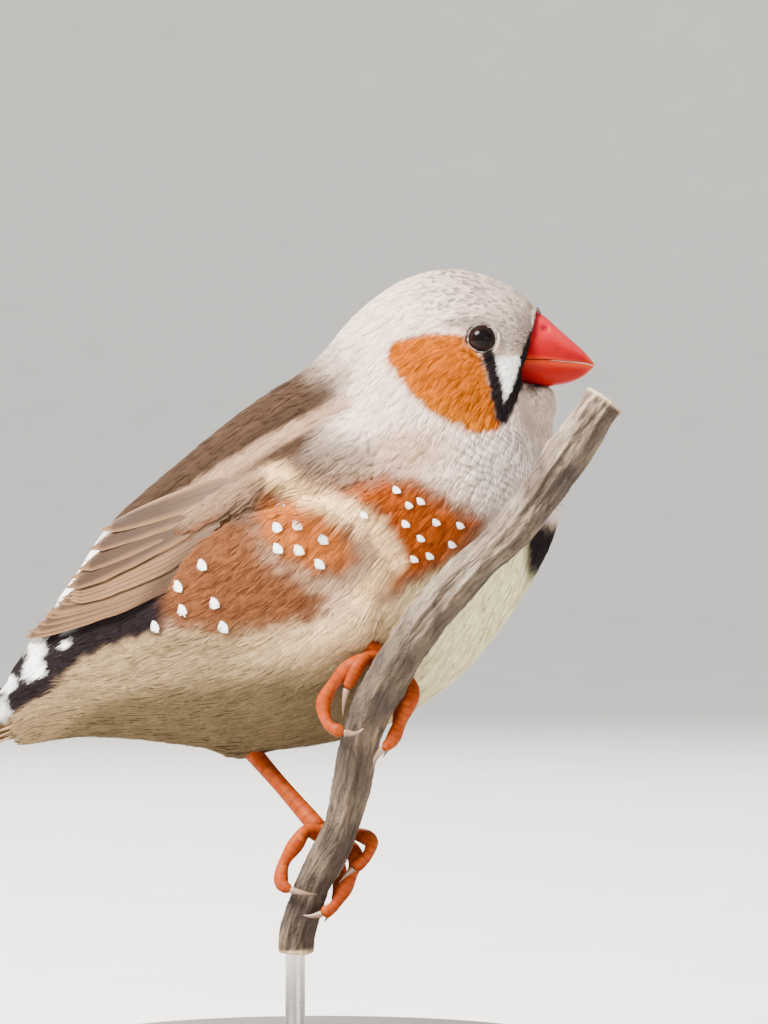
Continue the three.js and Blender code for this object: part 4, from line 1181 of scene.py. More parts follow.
WING_SINK = 0.45
VANE_STEPS = 14
VANE_CAMBER = 0.1
SHAFT_RISE = 0.05
VANE_COLUMNS = np.array([-1, -0.84, -0.5, -0.12, 0, 0.12, 0.5, 0.84, 1])
VANE_BROWN = linear(66, 47, 34)
VANE_DARK = linear(42, 31, 24)
VANE_PALE = linear(158, 120, 86)
SHAFT = linear(52, 38, 30)
RAGGED = 0.03
PATCH_WIDTH = 0.04
PATCH_STEP = 0.05
PATCH_GAP = 0.02


class Vanes:
    """Collects vanes as one mesh, with tints, a bake map and a map of each vane's own web.

    The bake map has a patch for each vane, in rows of so many columns from a left and low corner.
    """

    def __init__(self, left, low, columns, height):
        self.points, self.faces, self.tints, self.bake, self.web = [], [], [], [], []
        self.left, self.low, self.columns, self.height = left, low, columns, height
        self.total = 0
        self.count = 0

    def grid(self, top, bottom, tint, bake, web):
        """A closed thin shell between two equal grids of points."""
        rows, columns = top.shape[:2]
        index = np.arange(rows * columns).reshape(rows, columns) + self.total
        under = index + rows * columns
        a, b, c, d = index[:-1, :-1], index[:-1, 1:], index[1:, 1:], index[1:, :-1]
        faces = [np.stack([a, b, c, d], axis=-1).reshape(-1, 4)]
        a, b, c, d = under[:-1, :-1], under[:-1, 1:], under[1:, 1:], under[1:, :-1]
        faces.append(np.stack([d, c, b, a], axis=-1).reshape(-1, 4))
        rim = rim_of(index)
        after = np.roll(rim, -1)
        faces.append(np.stack([after, rim, rim + rows * columns, after + rows * columns], axis=-1))
        self.faces.append(np.concatenate(faces))
        self.points += [top.reshape(-1, 3), bottom.reshape(-1, 3)]
        for store, values, width in ((self.tints, tint, 3), (self.bake, bake, 2), (self.web, web, 2)):
            flat = np.broadcast_to(values, (rows, columns, width)).reshape(-1, width)
            store += [flat, flat]
        self.total += 2 * rows * columns

    def feather(self, middle, out, half, thick, tilt, camber, shade_at):
        """One vane along its middle line, with a raised shaft and a rounded, slightly ragged tip."""
        steps = len(middle)
        share = np.linspace(0, 1, steps)
        along = unit(np.gradient(middle, axis=0))
        across = unit(np.cross(out, along))
        halves = half * (0.5 + 0.5 * step_up(0, 0.4, share)) * np.sqrt(np.maximum(0.015, 1 - share**6))
        columns = VANE_COLUMNS
        rag = RAGGED * rng.normal(0, 1, (steps, len(columns))) * np.abs(columns)
        reach = halves[:, None] * columns * (1 + rag)
        height = camber * half * (1 - columns**2) + tilt * columns
        height = height[None, :] + SHAFT_RISE * np.exp(-(columns / 0.1) ** 2)[None, :]
        top = middle[:, None] + across[:, None] * reach[..., None] + out[:, None] * height[..., None]
        wall = (thick * (1 - 0.55 * np.abs(columns)))[None, :] * (1 - 0.5 * share[:, None] ** 2)
        bottom = top - out[:, None] * wall[..., None]
        length = np.linalg.norm(middle[-1] - middle[0])
        web = np.stack(np.broadcast_arrays(reach, (share * length)[:, None]), axis=-1)
        left = self.left + PATCH_STEP * (self.count % self.columns)
        low = self.low + (self.height + PATCH_GAP) * (self.count // self.columns)
        self.count += 1
        bake = np.stack(np.broadcast_arrays(
            left + PATCH_WIDTH * (0.5 + 0.5 * columns)[None, :], low + self.height * share[:, None]
        ), axis=-1)
        tint = shade_at(top, *np.broadcast_arrays(columns[None, :], share[:, None]))
        if np.cross(top[1, 0] - top[0, 0], top[0, 1] - top[0, 0]) @ out[0] > 0:
            self.grid(top[:, ::-1], bottom[:, ::-1], tint[:, ::-1], bake[:, ::-1], web[:, ::-1])
        else:
            self.grid(top, bottom, tint, bake, web)

    def made(self, name):
        piece = made_mesh(name, np.concatenate(self.points), [np.concatenate(self.faces)])
        tinted(piece, np.concatenate(self.tints))
        mapped(piece, np.concatenate(self.bake))
        mapped(piece, np.concatenate(self.web), "web")
        return piece


def wing_shade(row):
    """The colours of a tier's vanes: brown with a dark inner web, a dark shaft and a pale edge."""
    def colour(points, column, share):
        s, z = seen_across(points), points[..., 2]
        tone = filled(points.shape, VANE_BROWN)
        tone = toward(tone, VANE_DARK, 0.55 * step_up(0.1, 0.9, -column) * row["inner_dark"])
        tone = toward(tone, BEIGE, 0.3 * step_up(-22, -10, s) * step_up(66, 72, z))
        edge = step_up(0.72, 0.98, np.abs(column)) * step_up(0.1, 0.4, share)
        edge = np.maximum(edge, step_up(0.92, 1.0, share))
        tone = toward(tone, VANE_PALE, 0.85 * row["pale"] * edge)
        tone = toward(tone, SHAFT, 0.5 * step_up(0.1, 0.02, np.abs(column)))
        return tone * row["tone"]
    return colour


# The barbs run out from the shaft and slant towards the tip, in each vane's own map
BARB_SLANT = 1.3
vane = finish("flight_feathers", 0.62, Specular_IOR_Level=0.15)
web_map = texture(vane, "ShaderNodeUVMap", settings={"uv_map": "web"})
web_split = vane.node_tree.nodes.new("ShaderNodeSeparateXYZ")
vane.node_tree.links.new(web_map.outputs["UV"], web_split.inputs["Vector"])
away = worked(vane, "ABSOLUTE", web_split.outputs["X"])
barb_at = vane.node_tree.nodes.new("ShaderNodeCombineXYZ")
slanted = worked(vane, "MULTIPLY_ADD", away, -BARB_SLANT, web_split.outputs["Y"])
vane.node_tree.links.new(slanted, barb_at.inputs["X"])
barbs = texture(vane, "ShaderNodeTexWave", barb_at.outputs[0], Scale=1.0, Distortion=0.8, Detail=2)
barb_noise = texture(vane, "ShaderNodeTexNoise", barb_at.outputs[0], Scale=3.2, Detail=3)
vane_soft = noise_over(vane, 300, Scale=1, Detail=3)
vane_tone = toned(vane, stored(vane, "tint", "Color"), barb_noise.outputs["Fac"], [
    (0.3, (0.82, 0.81, 0.8)), (0.7, (1.08, 1.08, 1.08)),
])
vane_tone = toned(vane, vane_tone, vane_soft, [(0.3, (0.88, 0.88, 0.88)), (0.7, (1.08, 1.07, 1.06))])
shade(vane, vane_tone, barbs.outputs["Fac"], 0.00005, 0.5)

for side, side_name in ((-1, "right"), (1, "left")):
    vanes = Vanes(0.02 + 0.5 * (side > 0), 0.23, 9, 0.13)
    for row in WING_TIERS:
        for k in range(row["count"]):
            share = k / (row["count"] - 1)
            root = np.array(row["roots"][0]) * (1 - share) + np.array(row["roots"][1]) * share
            tip = np.array(row["tips"][0]) * (1 - share) + np.array(row["tips"][1]) * share
            root[:2] += rng.normal(0, 0.12, 2)
            tip[:2] += rng.normal(0, 0.18, 2)
            steps = np.linspace(0, 1, VANE_STEPS)[:, None]
            line = root * (1 - steps) + tip * steps
            middle, out = on_side(line[:, 0], line[:, 1], side, line[:, 2] + 0.02 * k - WING_SINK)
            tilt = row["tilt"] * side
            shade_at = wing_shade(row)
            vanes.feather(middle, out, row["half"], row["thick"], tilt, VANE_CAMBER, shade_at)
    wing = vanes.made("wing_feathers_" + side_name)
    fitted(wing, vane, "wing_feathers", "wing_" + side_name)

# Tail
# Twelve dark rectrices in a closed fan, with white-barred coverts over them and cream ones under.
# The vanes spring from a short fleshy root at the end of the back.
TAIL_START = np.array([-41.4, 0.0, 47.8])
TAIL_PITCH = math.radians(33)
TAIL_LENGTH = 19
TAIL_THICK = 0.16
TAIL_CAMBER = 0.06
CORE_RINGS = 9
CORE_SIDES = 24
RECTRICES = 6
COVERT_ROWS = 3
tail_back = np.array([-math.cos(TAIL_PITCH), 0, -math.sin(TAIL_PITCH)])
tail_up = np.array([-math.sin(TAIL_PITCH), 0, math.cos(TAIL_PITCH)])
tail_across = np.array([0.0, 1.0, 0.0])


def tail_shade(plan):
    """The colours of the tail's feathers, of its under coverts and of its barred upper coverts."""
    def colour(points, column, share):
        if plan == "rectrix":
            tone = filled(points.shape, linear(38, 31, 30))
            edge = np.maximum(step_up(0.8, 1.0, np.abs(column)), step_up(0.93, 1, share))
            return toward(tone, linear(120, 108, 98), 0.45 * edge)
        if plan == "under":
            # The under coverts darken towards their tips to the belly's painted shade
            return toward(filled(points.shape, CREAM), SHADED_BUFF, 0.5 * share)
        bar = step_up(0.13, 0.09, np.abs(share - 0.80)) + step_up(0.09, 0.05, np.abs(share - 0.42))
        return toward(filled(points.shape, BLACK), WHITE, bar)
    return colour


def ring_faces(rings, sides):
    """Quads between rings of points, and a fan at each end round a point stored after the rings."""
    index = np.arange(rings * sides).reshape(rings, sides)
    after = np.roll(index, -1, axis=1)
    quads = np.stack([index[:-1], after[:-1], after[1:], index[1:]], axis=-1).reshape(-1, 4)
    hub = rings * sides
    caps = np.concatenate([
        np.stack([after[0], index[0], np.full(sides, hub)], axis=-1),
        np.stack([index[-1], after[-1], np.full(sides, hub + 1)], axis=-1),
    ])
    return quads, caps


tail_middle, tail_rise, tail_half = (values[0] for values in section(np.array([float(TAIL_ROOT)])))
core_middle = np.array([tail_middle[0], 0, tail_middle[1]])
core_up = np.array([tail_rise[0], 0, tail_rise[1]])
turn = np.linspace(0, 2 * math.pi, CORE_SIDES, endpoint=False)
core = []
for share in np.arange(CORE_RINGS) / (CORE_RINGS - 1):
    centre = core_middle + tail_back * (9 * share - 1.5) + tail_up * 0.6 * share
    ring = centre + core_up * (0.9 - 0.74 * share) * np.cos(turn)[:, None]
    core.append(ring + tail_across * (0.9 * tail_half * (1 - 0.4 * share) * np.sin(turn))[:, None])
core = np.array(core)
core_points = np.concatenate([core.reshape(-1, 3), core[[0, -1]].mean(axis=1)])
tail_core = made_mesh("tail_root", core_points, ring_faces(CORE_RINGS, CORE_SIDES))
tinted(tail_core, plumage(core_points) * 0.6)
fitted(tail_core, down, "tail_feathers")

tail_vanes = Vanes(0.02, 0.02, 18, 0.14)


def tail_vane(begin, end, across, spread, up, drop, half, plan):
    """One straight vane of the tail, from its begin to its end behind the tail's root."""
    steps = np.linspace(0, 1, VANE_STEPS)[:, None]
    middle = TAIL_START + tail_back * (begin + (end - begin) * steps) + tail_up * (up + drop * steps)
    middle = middle + tail_across * (across + spread * steps)
    out = np.broadcast_to(tail_up * (-1 if plan == "under" else 1), middle.shape)
    tail_vanes.feather(middle, out, half, TAIL_THICK, 0.0, TAIL_CAMBER, tail_shade(plan))


for side in (-1, 1):
    for k in range(RECTRICES):
        end = TAIL_LENGTH - 0.042 * k * k
        tail_vane(3, end, side * (0.55 + 0.35 * k), side * 0.22 * k, 0.9 - 0.3 * k, 0, 1.9, "rectrix")
    for k in range(COVERT_ROWS):
        for row in (0, 1):
            begin, end = 1.2 + 0.3 * k - 1.6 * row, 10.5 - 1.6 * k - 3.4 * row
            up, drop = 3.2 - 0.9 * k + 0.25 * row, -1.8 + 0.7 * row
            tail_vane(begin, end, side * (0.7 + 1.25 * k), -side * 0.3, up, drop, 1.5, "over")
            begin, end = 0.6 - 1.4 * row, 9.5 - 1.2 * k - 3.0 * row
            up, drop = -2.9 + 0.5 * k - 0.2 * row, 1.9 - 0.8 * row
            tail_vane(begin, end, side * (0.7 + 1.2 * k), -side * 0.3, up, drop, 1.5, "under")
tail = tail_vanes.made("tail_feathers")
fitted(tail, vane, "tail_feathers", "tail")

# Bill
# Two halves of smooth waxy horn, deep at the base and short, with a ridge along the top, a mouth
# line that turns down a little at its corner, and a nostril at each side of the root.
CULMEN = [(27.2, 101.0), (29.4, 100.15), (31.4, 98.45), (33.4, 96.7), (35.1, 95.15), (36.4, 93.6)]
TOMIUM = [(25.6, 94.0), (27.9, 94.2), (30.3, 94.2), (32.6, 94.0), (34.7, 93.8), (36.35, 93.45)]
GONYS = [(25.0, 91.0), (27.4, 90.9), (30.0, 90.7), (32.6, 91.0), (34.8, 91.9), (36.1, 93.0)]
BILL_HALVES = [3.4, 3.5, 3.15, 2.4, 1.4, 0.2]
BILL_RINGS = 44
BILL_SIDES = 36
BILL_RED = linear(136, 0, 10)
# The pink is a painted highlight along the bill's top
BILL_HIGHLIGHT_PINK = linear(176, 36, 46)
BILL_LOW = linear(140, 4, 0)
BILL_EDGE = linear(180, 60, 18)
NOSTRIL = np.array([30.2, 2.25, 98.2])
NOSTRIL_SIZE = [1.25, 1, 0.85]
NOSTRIL_DEPTH = 0.75
NOSTRIL_TONE = linear(92, 14, 14)


def from_nostril(points, side):
    """How far points are from one nostril, in shares of its size."""
    return np.linalg.norm((points - NOSTRIL * [1, side, 1]) / NOSTRIL_SIZE, axis=1)


def bill_half(name, ridge_rows, drop, narrow):
    """One half of the bill between the mouth line and a ridge line."""
    at = np.linspace(0, len(CULMEN) - 1, BILL_RINGS)
    low = curve(TOMIUM, at) + [0, drop]
    rise = curve(ridge_rows, at) - low
    half_rows = np.stack([np.arange(len(BILL_HALVES)), np.array(BILL_HALVES) * narrow], axis=1)
    halves = np.maximum(0.1, curve(half_rows, at)[:, 1])
    turn = np.linspace(0, math.pi, BILL_SIDES + 1)
    height = np.maximum(0, np.sin(turn)) ** 0.85
    centre = low[:, None] + rise[:, None] * height[None, :, None]
    across = halves[:, None] * np.cos(turn)[None, :]
    points = np.stack([centre[..., 0], across, centre[..., 1]], axis=-1)
    mouth = np.stack([low[:, 0], np.zeros(BILL_RINGS), low[:, 1]], axis=-1)[:, None]
    ring = np.concatenate([points, mouth], axis=1)
    flat = np.concatenate([ring.reshape(-1, 3), ring[[0, -1]].mean(axis=1)])
    for side in (-1, 1):
        flat[:, 1] -= side * NOSTRIL_DEPTH * np.exp(-(from_nostril(flat, side) / 0.42) ** 2)
    made = made_mesh(name, flat, ring_faces(*ring.shape[:2]))
    only(made)
    bpy.ops.object.mode_set(mode="EDIT")
    bpy.ops.mesh.select_all(action="SELECT")
    bpy.ops.mesh.normals_make_consistent(inside=False)
    bpy.ops.object.mode_set(mode="OBJECT")
    bpy.ops.object.shade_smooth_by_angle(angle=math.radians(50))
    x, z = flat[:, 0], flat[:, 2]
    mouth = np.interp(x, *np.array(TOMIUM).T)
    top = np.interp(x, *np.array(CULMEN).T)
    upward = (z - mouth) / np.maximum(top - mouth, 0.5)
    # Painted highlight: the upper half turns pink towards its ridge and in a band near its root
    tone = toward(filled(flat.shape, BILL_RED), BILL_HIGHLIGHT_PINK, step_up(0.35, 0.85, upward) * 0.8)
    tone = toward(tone, BILL_HIGHLIGHT_PINK, step_up(2.6, 0.6, np.abs(z - 97.6)) * step_up(32.0, 29.5, x) * 0.35)
    low = step_up(0.3, -0.2, z - mouth)
    tone = toward(tone, BILL_LOW, low)
    tone = toward(tone, BILL_EDGE, low * step_up(-1.1, -0.2, z - mouth) * 0.75)
    tone = toward(tone, BILL_EDGE, step_up(34.6, 36.4, x) * 0.5)
    for side in (-1, 1):
        tone = toward(tone, NOSTRIL_TONE, step_up(0.55, 0.25, from_nostril(flat, side)))
    tinted(made, tone)
    return made


horn = finish("bill_horn", 0.34, Specular_IOR_Level=0.09)
horn_shader = horn.node_tree.nodes["Principled BSDF"]
horn_shader.inputs["Subsurface Weight"].default_value = 0.1
horn_shader.inputs["Subsurface Radius"].default_value = (0.0008, 0.0001, 0.0001)
horn_lines = noise_over(horn, (260, 900, 900), Scale=1.4, Detail=5)
horn_cloud = noise_over(horn, 420, Scale=1, Detail=3)
horn_tone = toned(horn, stored(horn, "tint", "Color"), horn_lines, [
    (0.3, (0.9, 0.84, 0.82)), (0.7, (1.05, 1.06, 1.06)),
], 0.9)
horn_tone = toned(horn, horn_tone, horn_cloud, [
    (0.35, (0.9, 0.8, 0.8)), (0.65, (1.04, 1.05, 1.05)),
], 0.7)
shade(horn, horn_tone, horn_lines, 0.00006, 0.35)
upper_bill = bill_half("bill_upper_horn", CULMEN, 0, 1.0)
lower_bill = bill_half("bill_lower_horn", GONYS, -0.12, 0.94)
fitted(upper_bill, horn, "bill", "bill_upper")
fitted(lower_bill, horn, "bill", "bill_lower")

# Eyes and lids
# Wet dark eyes with a brown iris that barely shows, each sunk in its socket behind a narrow bare
# ring of lid skin with fine folds.
EYE_RADIUS = 1.95
EYE_SUNK = 1.15
LID_RADIUS = 1.8
LID_THICK = 0.18
LID_SUNK = 0.34
FOLD_HEIGHT = 0.16
PUPIL_TONE = (0.004, 0.003, 0.003)
IRIS_TONE = (0.012, 0.005, 0.004)
LID_TONE = (0.2, 0.17, 0.155)
eye_gloss = finish("eye_gloss", 0.07, Specular_IOR_Level=0.07)
eye_grain = noise_over(eye_gloss, 1500, Scale=1, Detail=4)
eye_tone = toned(eye_gloss, stored(eye_gloss, "tint", "Color"), eye_grain, [
    (0.35, (0.6, 0.6, 0.6)), (0.65, (1.3, 1.2, 1.1)),
], 0.8)
shade(eye_gloss, eye_tone)
lid_skin = finish("lid_skin", 0.75, Specular_IOR_Level=0.1)
lid_folds = noise_over(lid_skin, 3000, Scale=1, Detail=3)
lid_tone = toned(lid_skin, stored(lid_skin, "tint", "Color"), lid_folds, [
    (0.35, (0.62, 0.6, 0.6)), (0.7, (1.1, 1.1, 1.1)),
])
shade(lid_skin, lid_tone, lid_folds, 0.00006, 0.6)
def settled(name):
    """Names the object that was just added, applies its place and turn, and smooths it."""
    made = bpy.context.object
    made.name = name
    bpy.ops.object.transform_apply(location=True, rotation=True, scale=True)
    bpy.ops.object.shade_smooth()
    return made


for side, side_name in ((-1, "right"), (1, "left")):
    seat, out = (Vector(found) for found in point_on_side(*EYE_SEAT, side))
    turned = Vector((0, 0, 1)).rotation_difference(out)
    bpy.ops.object.select_all(action="DESELECT")
    bpy.ops.mesh.primitive_uv_sphere_add(
        segments=48, ring_count=32, radius=EYE_RADIUS * MM, location=(seat - out * EYE_SUNK) * MM,
        rotation=turned.to_euler(),
    )
    eye = settled("eyeball_" + side_name)
    centre = np.array(seat - out * EYE_SUNK)
    ball = points_of(eye)
    from_axis = np.degrees(np.arccos(np.clip(unit(ball - centre) @ np.array(out), -1, 1)))
    iris = step_up(32, 38, from_axis) * step_up(62, 52, from_axis)
    tinted(eye, toward(filled(ball.shape, PUPIL_TONE), IRIS_TONE, iris))
    fitted(eye, eye_gloss, "eye", "eye_" + side_name)
    bpy.ops.object.select_all(action="DESELECT")
    bpy.ops.mesh.primitive_torus_add(
        major_segments=72, minor_segments=16, major_radius=LID_RADIUS * MM, minor_radius=LID_THICK * MM,
        location=(seat - out * LID_SUNK) * MM, rotation=turned.to_euler(),
    )
    lid = settled("lid_" + side_name)
    rim = points_of(lid)
    folds = turbulence(rim * 2.2, 3)
    moved_to(lid, rim + normals_of(lid) * (FOLD_HEIGHT * (folds - 0.35))[:, None])
    off_axis = rim - np.array(seat)
    off_axis = np.linalg.norm(off_axis - np.outer(off_axis @ np.array(out), np.array(out)), axis=1)
    tinted(lid, toward(np.full(rim.shape, 0.05), LID_TONE, step_up(1.66, 1.86, off_axis)))
    fitted(lid, lid_skin, "eye")

# Legs and feet
# Thin orange legs in rings of horny scutes, with three toes forward and one back that close round
# the branch, fleshy pads under the joints and a pale curved claw at each tip.
TOE_RADIUS = 1.0
TOE_SIDES = 16
SHANK_RADIUS = 1.12
PAD_RADIUS = 1.3
CLAW_RADIUS = 0.46
TOE_CLEAR = 0.3
TOE_SUNK = 0.12
SOLE_OUT = 1.35
CLAW_OUT = 0.2
FEET = {
    "right": dict(along=41.8, pad=(168, -2.0), start=((6.6, 60.0), -0.6), toes=[
        ([(166, -2.0, 0.2), (132, -2.2, 0.7), (106, -3.6, 1.0), (96, -6.4, 1.8), (86, -8.8, 1.9),
          (62, -10.2, 0.9), (34, -10.2, 0)], [(12, -9.6, 0.3), (0, -8.4, -0.1)]),
        ([(186, -2.0, 0.2), (232, -2.6, 0.1), (260, -4.6, 0.0), (276, -7.6, 0.0), (294, -10.0, 0.1),
          (314, -11.4, 0)], [(322, -13.0, 0.3), (316, -14.6, -0.1)]),
        ([(184, -2.4, 0.2), (222, -4.8, 0.1), (246, -7.6, 0.1), (262, -10.0, 0)],
         [(274, -11.8, 0.3), (282, -13.2, -0.1)]),
        ([(170, -1.8, 0.2), (134, -1.6, 0.5), (106, -3.2, 0.3), (88, -6.0, 0)],
         [(80, -7.8, 0.2), (72, -9.0, -0.1)]),
    ]),
    "left": dict(along=16.6, pad=(152, -1.4), start=(-10.6, -0.4, 44.4), toes=[
        ([(148, -1.6, 0.2), (114, -1.6, 0.5), (98, -3.4, 0.6), (88, -6.2, 0.9), (68, -8.0, 0.5),
          (42, -8.0, 0)], [(12, -7.6, 0.3), (-16, -7.3, -0.1)]),
        ([(170, -1.4, 0.2), (216, -1.4, 0.2), (250, -2.2, 0.1), (268, -4.2, 0.2), (280, -6.6, 0.2),
          (298, -8.6, 0.1), (322, -9.6, 0)], [(342, -10.3, 0.3), (360, -10.6, -0.1)]),
        ([(168, -1.0, 0.2), (216, 0.4, 0.4), (250, 0.6, 0.9), (266, -0.6, 0.8), (270, -2.6, 0)],
         [(274, -4.0, 0.2), (280, -5.2, -0.1)]),
        ([(166, -1.8, 0.2), (208, -4.0, 0.1), (238, -6.6, 0.1), (254, -8.8, 0)],
         [(266, -10.4, 0.3), (276, -11.4, -0.1)]),
    ]),
}


def around_branch(along, degrees, out):
    """A point at a height along the branch, turned round it from its front and so far out from it."""
    middle, _, front, rear = branch_frame(np.array([along]))
    radius = np.interp(along / branch_length, np.linspace(0, 1, len(BRANCH)), BRANCH[:, 3])
    turn = math.radians(degrees)
    return middle[0] + (front[0] * math.cos(turn) + rear[0] * math.sin(turn)) * (radius + out)


def tube(rows, radius_at, rings, sides):
    """Points and faces of a round tube along a curve, closed at both ends."""
    places = np.linspace(0, len(rows) - 1, 200)
    dense = curve(rows, places)
    run = np.concatenate([[0], np.cumsum(np.linalg.norm(np.diff(dense, axis=0), axis=1))])
    at = np.linspace(0, run[-1], rings)
    middle = np.stack([np.interp(at, run, dense[:, k]) for k in range(3)], axis=1)
    along = unit(np.gradient(middle, axis=0))
    normal = unit(np.cross(along[0], [0.3, 0.5, 0.8]))
    normals = []
    for direction in along:
        normal = unit(normal - direction * (normal @ direction))
        normals.append(normal)
    normals = np.array(normals)
    binormals = np.cross(along, normals)
    turn = np.linspace(0, 2 * math.pi, sides, endpoint=False)
    radius = radius_at(at / run[-1], at, turn)
    points = middle[:, None] + radius[..., None] * (
        normals[:, None] * np.cos(turn)[None, :, None] + binormals[:, None] * np.sin(turn)[None, :, None]
    )
    return np.concatenate([points.reshape(-1, 3), middle[[0, -1]]]), *ring_faces(rings, sides)


def joined_tubes(name, tubes, colours):
    """One mesh of tubes, with a colour for each of their points."""
    starts = np.cumsum([0] + [len(points) for points, _, _ in tubes])
    quads = np.concatenate([quad + start for (_, quad, _), start in zip(tubes, starts)])
    caps = np.concatenate([cap + start for (_, _, cap), start in zip(tubes, starts)])
    made = made_mesh(name, np.concatenate([points for points, _, _ in tubes]), [quads, caps])
    tinted(made, np.concatenate(colours))
    return made


leg_skin = finish("leg_scutes", 0.55, Specular_IOR_Level=0.08)
leg_place = object_place(leg_skin, (2200, 2200, 2200))
leg_cells = texture(leg_skin, "ShaderNodeTexVoronoi", leg_place, Scale=1)
leg_spots = noise_over(leg_skin, 700, Scale=1, Detail=4)
leg_tone = toned(leg_skin, stored(leg_skin, "tint", "Color"), leg_spots, [
    (0.3, (0.8, 0.72, 0.7)), (0.7, (1.1, 1.08, 1.05)),
])
shade(leg_skin, leg_tone, leg_cells.outputs["Distance"], 0.00005, 0.6)
claw_horn = finish("claw_horn", 0.35, Coat_Weight=0.2)
claw_lines = noise_over(claw_horn, (1600, 1600, 500), Scale=1, Detail=4)
claw_tone = toned(claw_horn, stored(claw_horn, "tint", "Color"), claw_lines, [
    (0.3, (0.75, 0.72, 0.7)), (0.7, (1.08, 1.08, 1.08)),
])
shade(claw_horn, claw_tone, claw_lines, 0.00004, 0.5)
LEG_ORANGE = linear(134, 54, 12)
LEG_DEEP = linear(86, 27, 8)
LEG_PALE = linear(158, 78, 28)
CLAW_TONE = linear(128, 100, 80)
SCUTE = 0.62
RINGS_PER_LINE = 6


def scuted(scale, taper, joints, swell):
    """A radius that steps a little at each scute and swells at the joints of the toe."""
    def radius(share, run, turn):
        steps = 1 - (run / SCUTE) % 1.0
        bulge = np.cos(2 * math.pi * joints * share)
        body = scale * (1.04 - taper * share + swell * bulge)
        rim = np.sqrt(np.clip((1 - share) / 0.05, 0.05, 1))
        scutes = 0.03 * scale * (steps[:, None] - 0.5) * np.clip(0.3 + np.cos(turn)[None, :], 0, 1)
        return body[:, None] * rim[:, None] + scutes
    return radius


def pad_radius(share, run, turn):
    """A radius that rounds off at both ends."""
    rounded = np.sqrt(np.maximum(0.02, 1 - (2 * share - 1) ** 2))
    return PAD_RADIUS * rounded[:, None] * np.ones((1, len(turn)))


def claw_radius(share, run, turn):
    """A radius that runs out to a point."""
    return (CLAW_RADIUS * 1.05 * (1 - 0.9 * share**1.2))[:, None] * np.ones((1, len(turn)))


def leg_colours(points):
    """Orange skin with paler and deeper clouds, and a deeper line now and then round it."""
    rings = (len(points) - 2) // TOE_SIDES
    step = np.repeat(np.arange(rings) % RINGS_PER_LINE, TOE_SIDES) / RINGS_PER_LINE
    lines = np.concatenate([step < 0.2, [False, False]])
    deep = np.clip(1.5 * turbulence(points * 0.55, 3) - 0.5, 0, 0.8)
    pale = np.clip(1.6 * turbulence(points * 0.8 + 7, 3) - 0.5, 0, 0.8)
    tone = toward(toward(filled(points.shape, LEG_ORANGE), LEG_DEEP, deep), LEG_PALE, pale)
    return toward(tone, LEG_DEEP, 0.25 * lines)


for foot_name, foot in FEET.items():
    along = foot["along"]
    sole = around_branch(along + foot["pad"][1], foot["pad"][0], TOE_CLEAR + SOLE_OUT)
    if foot_name == "right":
        start = point_on_side(*foot["start"][0], -1, foot["start"][1])[0]
    else:
        start = np.array(foot["start"])
    tubes = [
        tube([start, (start + sole) / 2, sole], scuted(SHANK_RADIUS, 0.0, 1, 0.08), 72, TOE_SIDES),
        tube([sole + (0, 0, 1.1), sole, sole - (0, 0, 1.2)], pad_radius, 24, TOE_SIDES),
    ]
    claws, claw_tones = [], []
    for rows, claw_rows in foot["toes"]:
        toe_out = TOE_CLEAR + TOE_RADIUS - TOE_SUNK
        toe_points = [around_branch(along + rise, turn, out + toe_out) for turn, rise, out in rows]
        joints = (len(rows) - 1) / 2
        tubes.append(tube(toe_points, scuted(TOE_RADIUS, 0.26, joints, 0.13), 90, TOE_SIDES))
        claw_points = [toe_points[-1]] + [
            around_branch(along + rise, turn, out + TOE_CLEAR + CLAW_OUT)
            for turn, rise, out in claw_rows
        ]
        claw = tube(claw_points, claw_radius, 22, 14)
        claws.append(claw)
        fading = np.linspace(1.05, 0.6, len(claw[0]))[:, None]
        claw_tones.append(filled(claw[0].shape, CLAW_TONE) * fading)
    leg = joined_tubes("leg_skin_" + foot_name, tubes, [leg_colours(points) for points, _, _ in tubes])
    fitted(leg, leg_skin, "leg", "leg_" + foot_name)
    claw_piece = joined_tubes("claws_" + foot_name, claws, claw_tones)
    fitted(claw_piece, claw_horn, "leg")

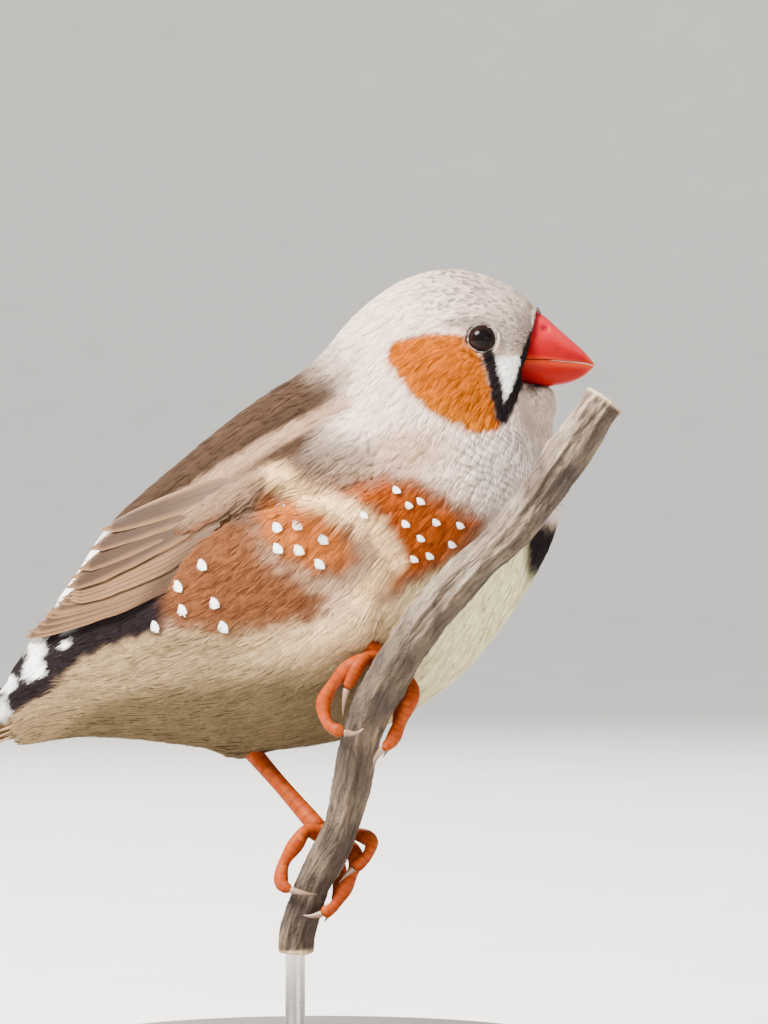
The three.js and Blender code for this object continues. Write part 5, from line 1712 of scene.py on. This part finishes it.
# Stage
# A pale floor that rises into a pale surround on every side, soft studio light from the upper left
# as in the photograph, a weak fill and a rim light, and the camera at the photograph's angle.
FLOOR = [(0, 0), (1.3, 0), (1.6, 0.02), (1.9, 0.12), (2.15, 0.3), (2.3, 0.55), (2.35, 0.8)]
floor = spun("floor", FLOOR, 96, size=1, join=0.0001, inside=True)
bpy.ops.object.shade_smooth()
paper = finish("pale_paper", 0.9)
paper_grain = noise_over(paper, 40, Scale=1, Detail=4)
shade(paper, ramp(paper, paper_grain, [(0.3, linear(222, 220, 215)), (0.7, linear(228, 226, 221))]))
floor.data.materials.append(paper)
floor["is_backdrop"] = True

TARGET = Vector((8.27, 1.46, 74.3)) * MM


def area_light(name, place, size, power, colour):
    light = bpy.data.lights.new(name, "AREA")
    light.shape = "DISK"
    light.size = size
    light.energy = power
    light.color = colour
    made = bpy.data.objects.new(name, light)
    made.location = place
    made.rotation_euler = (TARGET - Vector(place)).to_track_quat("-Z", "Y").to_euler()
    bpy.context.scene.collection.objects.link(made)


area_light("key", (-0.42, -0.42, 0.82), 0.5, 64.0, (1.0, 0.97, 0.92))
area_light("fill", (0.62, -0.62, 0.26), 0.6, 2.0, (0.95, 0.98, 1.0))
area_light("rim", (-0.3, 0.75, 0.6), 0.5, 10.0, (1.0, 0.98, 0.95))
world = bpy.data.worlds.new("studio")
world.use_nodes = True
world.node_tree.nodes["Background"].inputs["Color"].default_value = (0.93, 0.95, 1.0, 1)
world.node_tree.nodes["Background"].inputs["Strength"].default_value = 0.62
bpy.context.scene.world = world

camera_data = bpy.data.cameras.new("camera")
camera_data.lens = 187
camera_data.clip_start = 0.05
camera = bpy.data.objects.new("camera", camera_data)
camera.location = TARGET + Vector(VIEW) * 0.7
camera.rotation_euler = (TARGET - camera.location).to_track_quat("-Z", "Y").to_euler()
bpy.context.scene.collection.objects.link(camera)
bpy.context.scene.camera = camera


def plain(value):
    """Vectors and tuples of a box as plain lists of numbers."""
    if isinstance(value, (int, float)):
        return float(value)
    return [plain(part) for part in value]


{"cad": plain(cad_box), "visual": plain(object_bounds())}
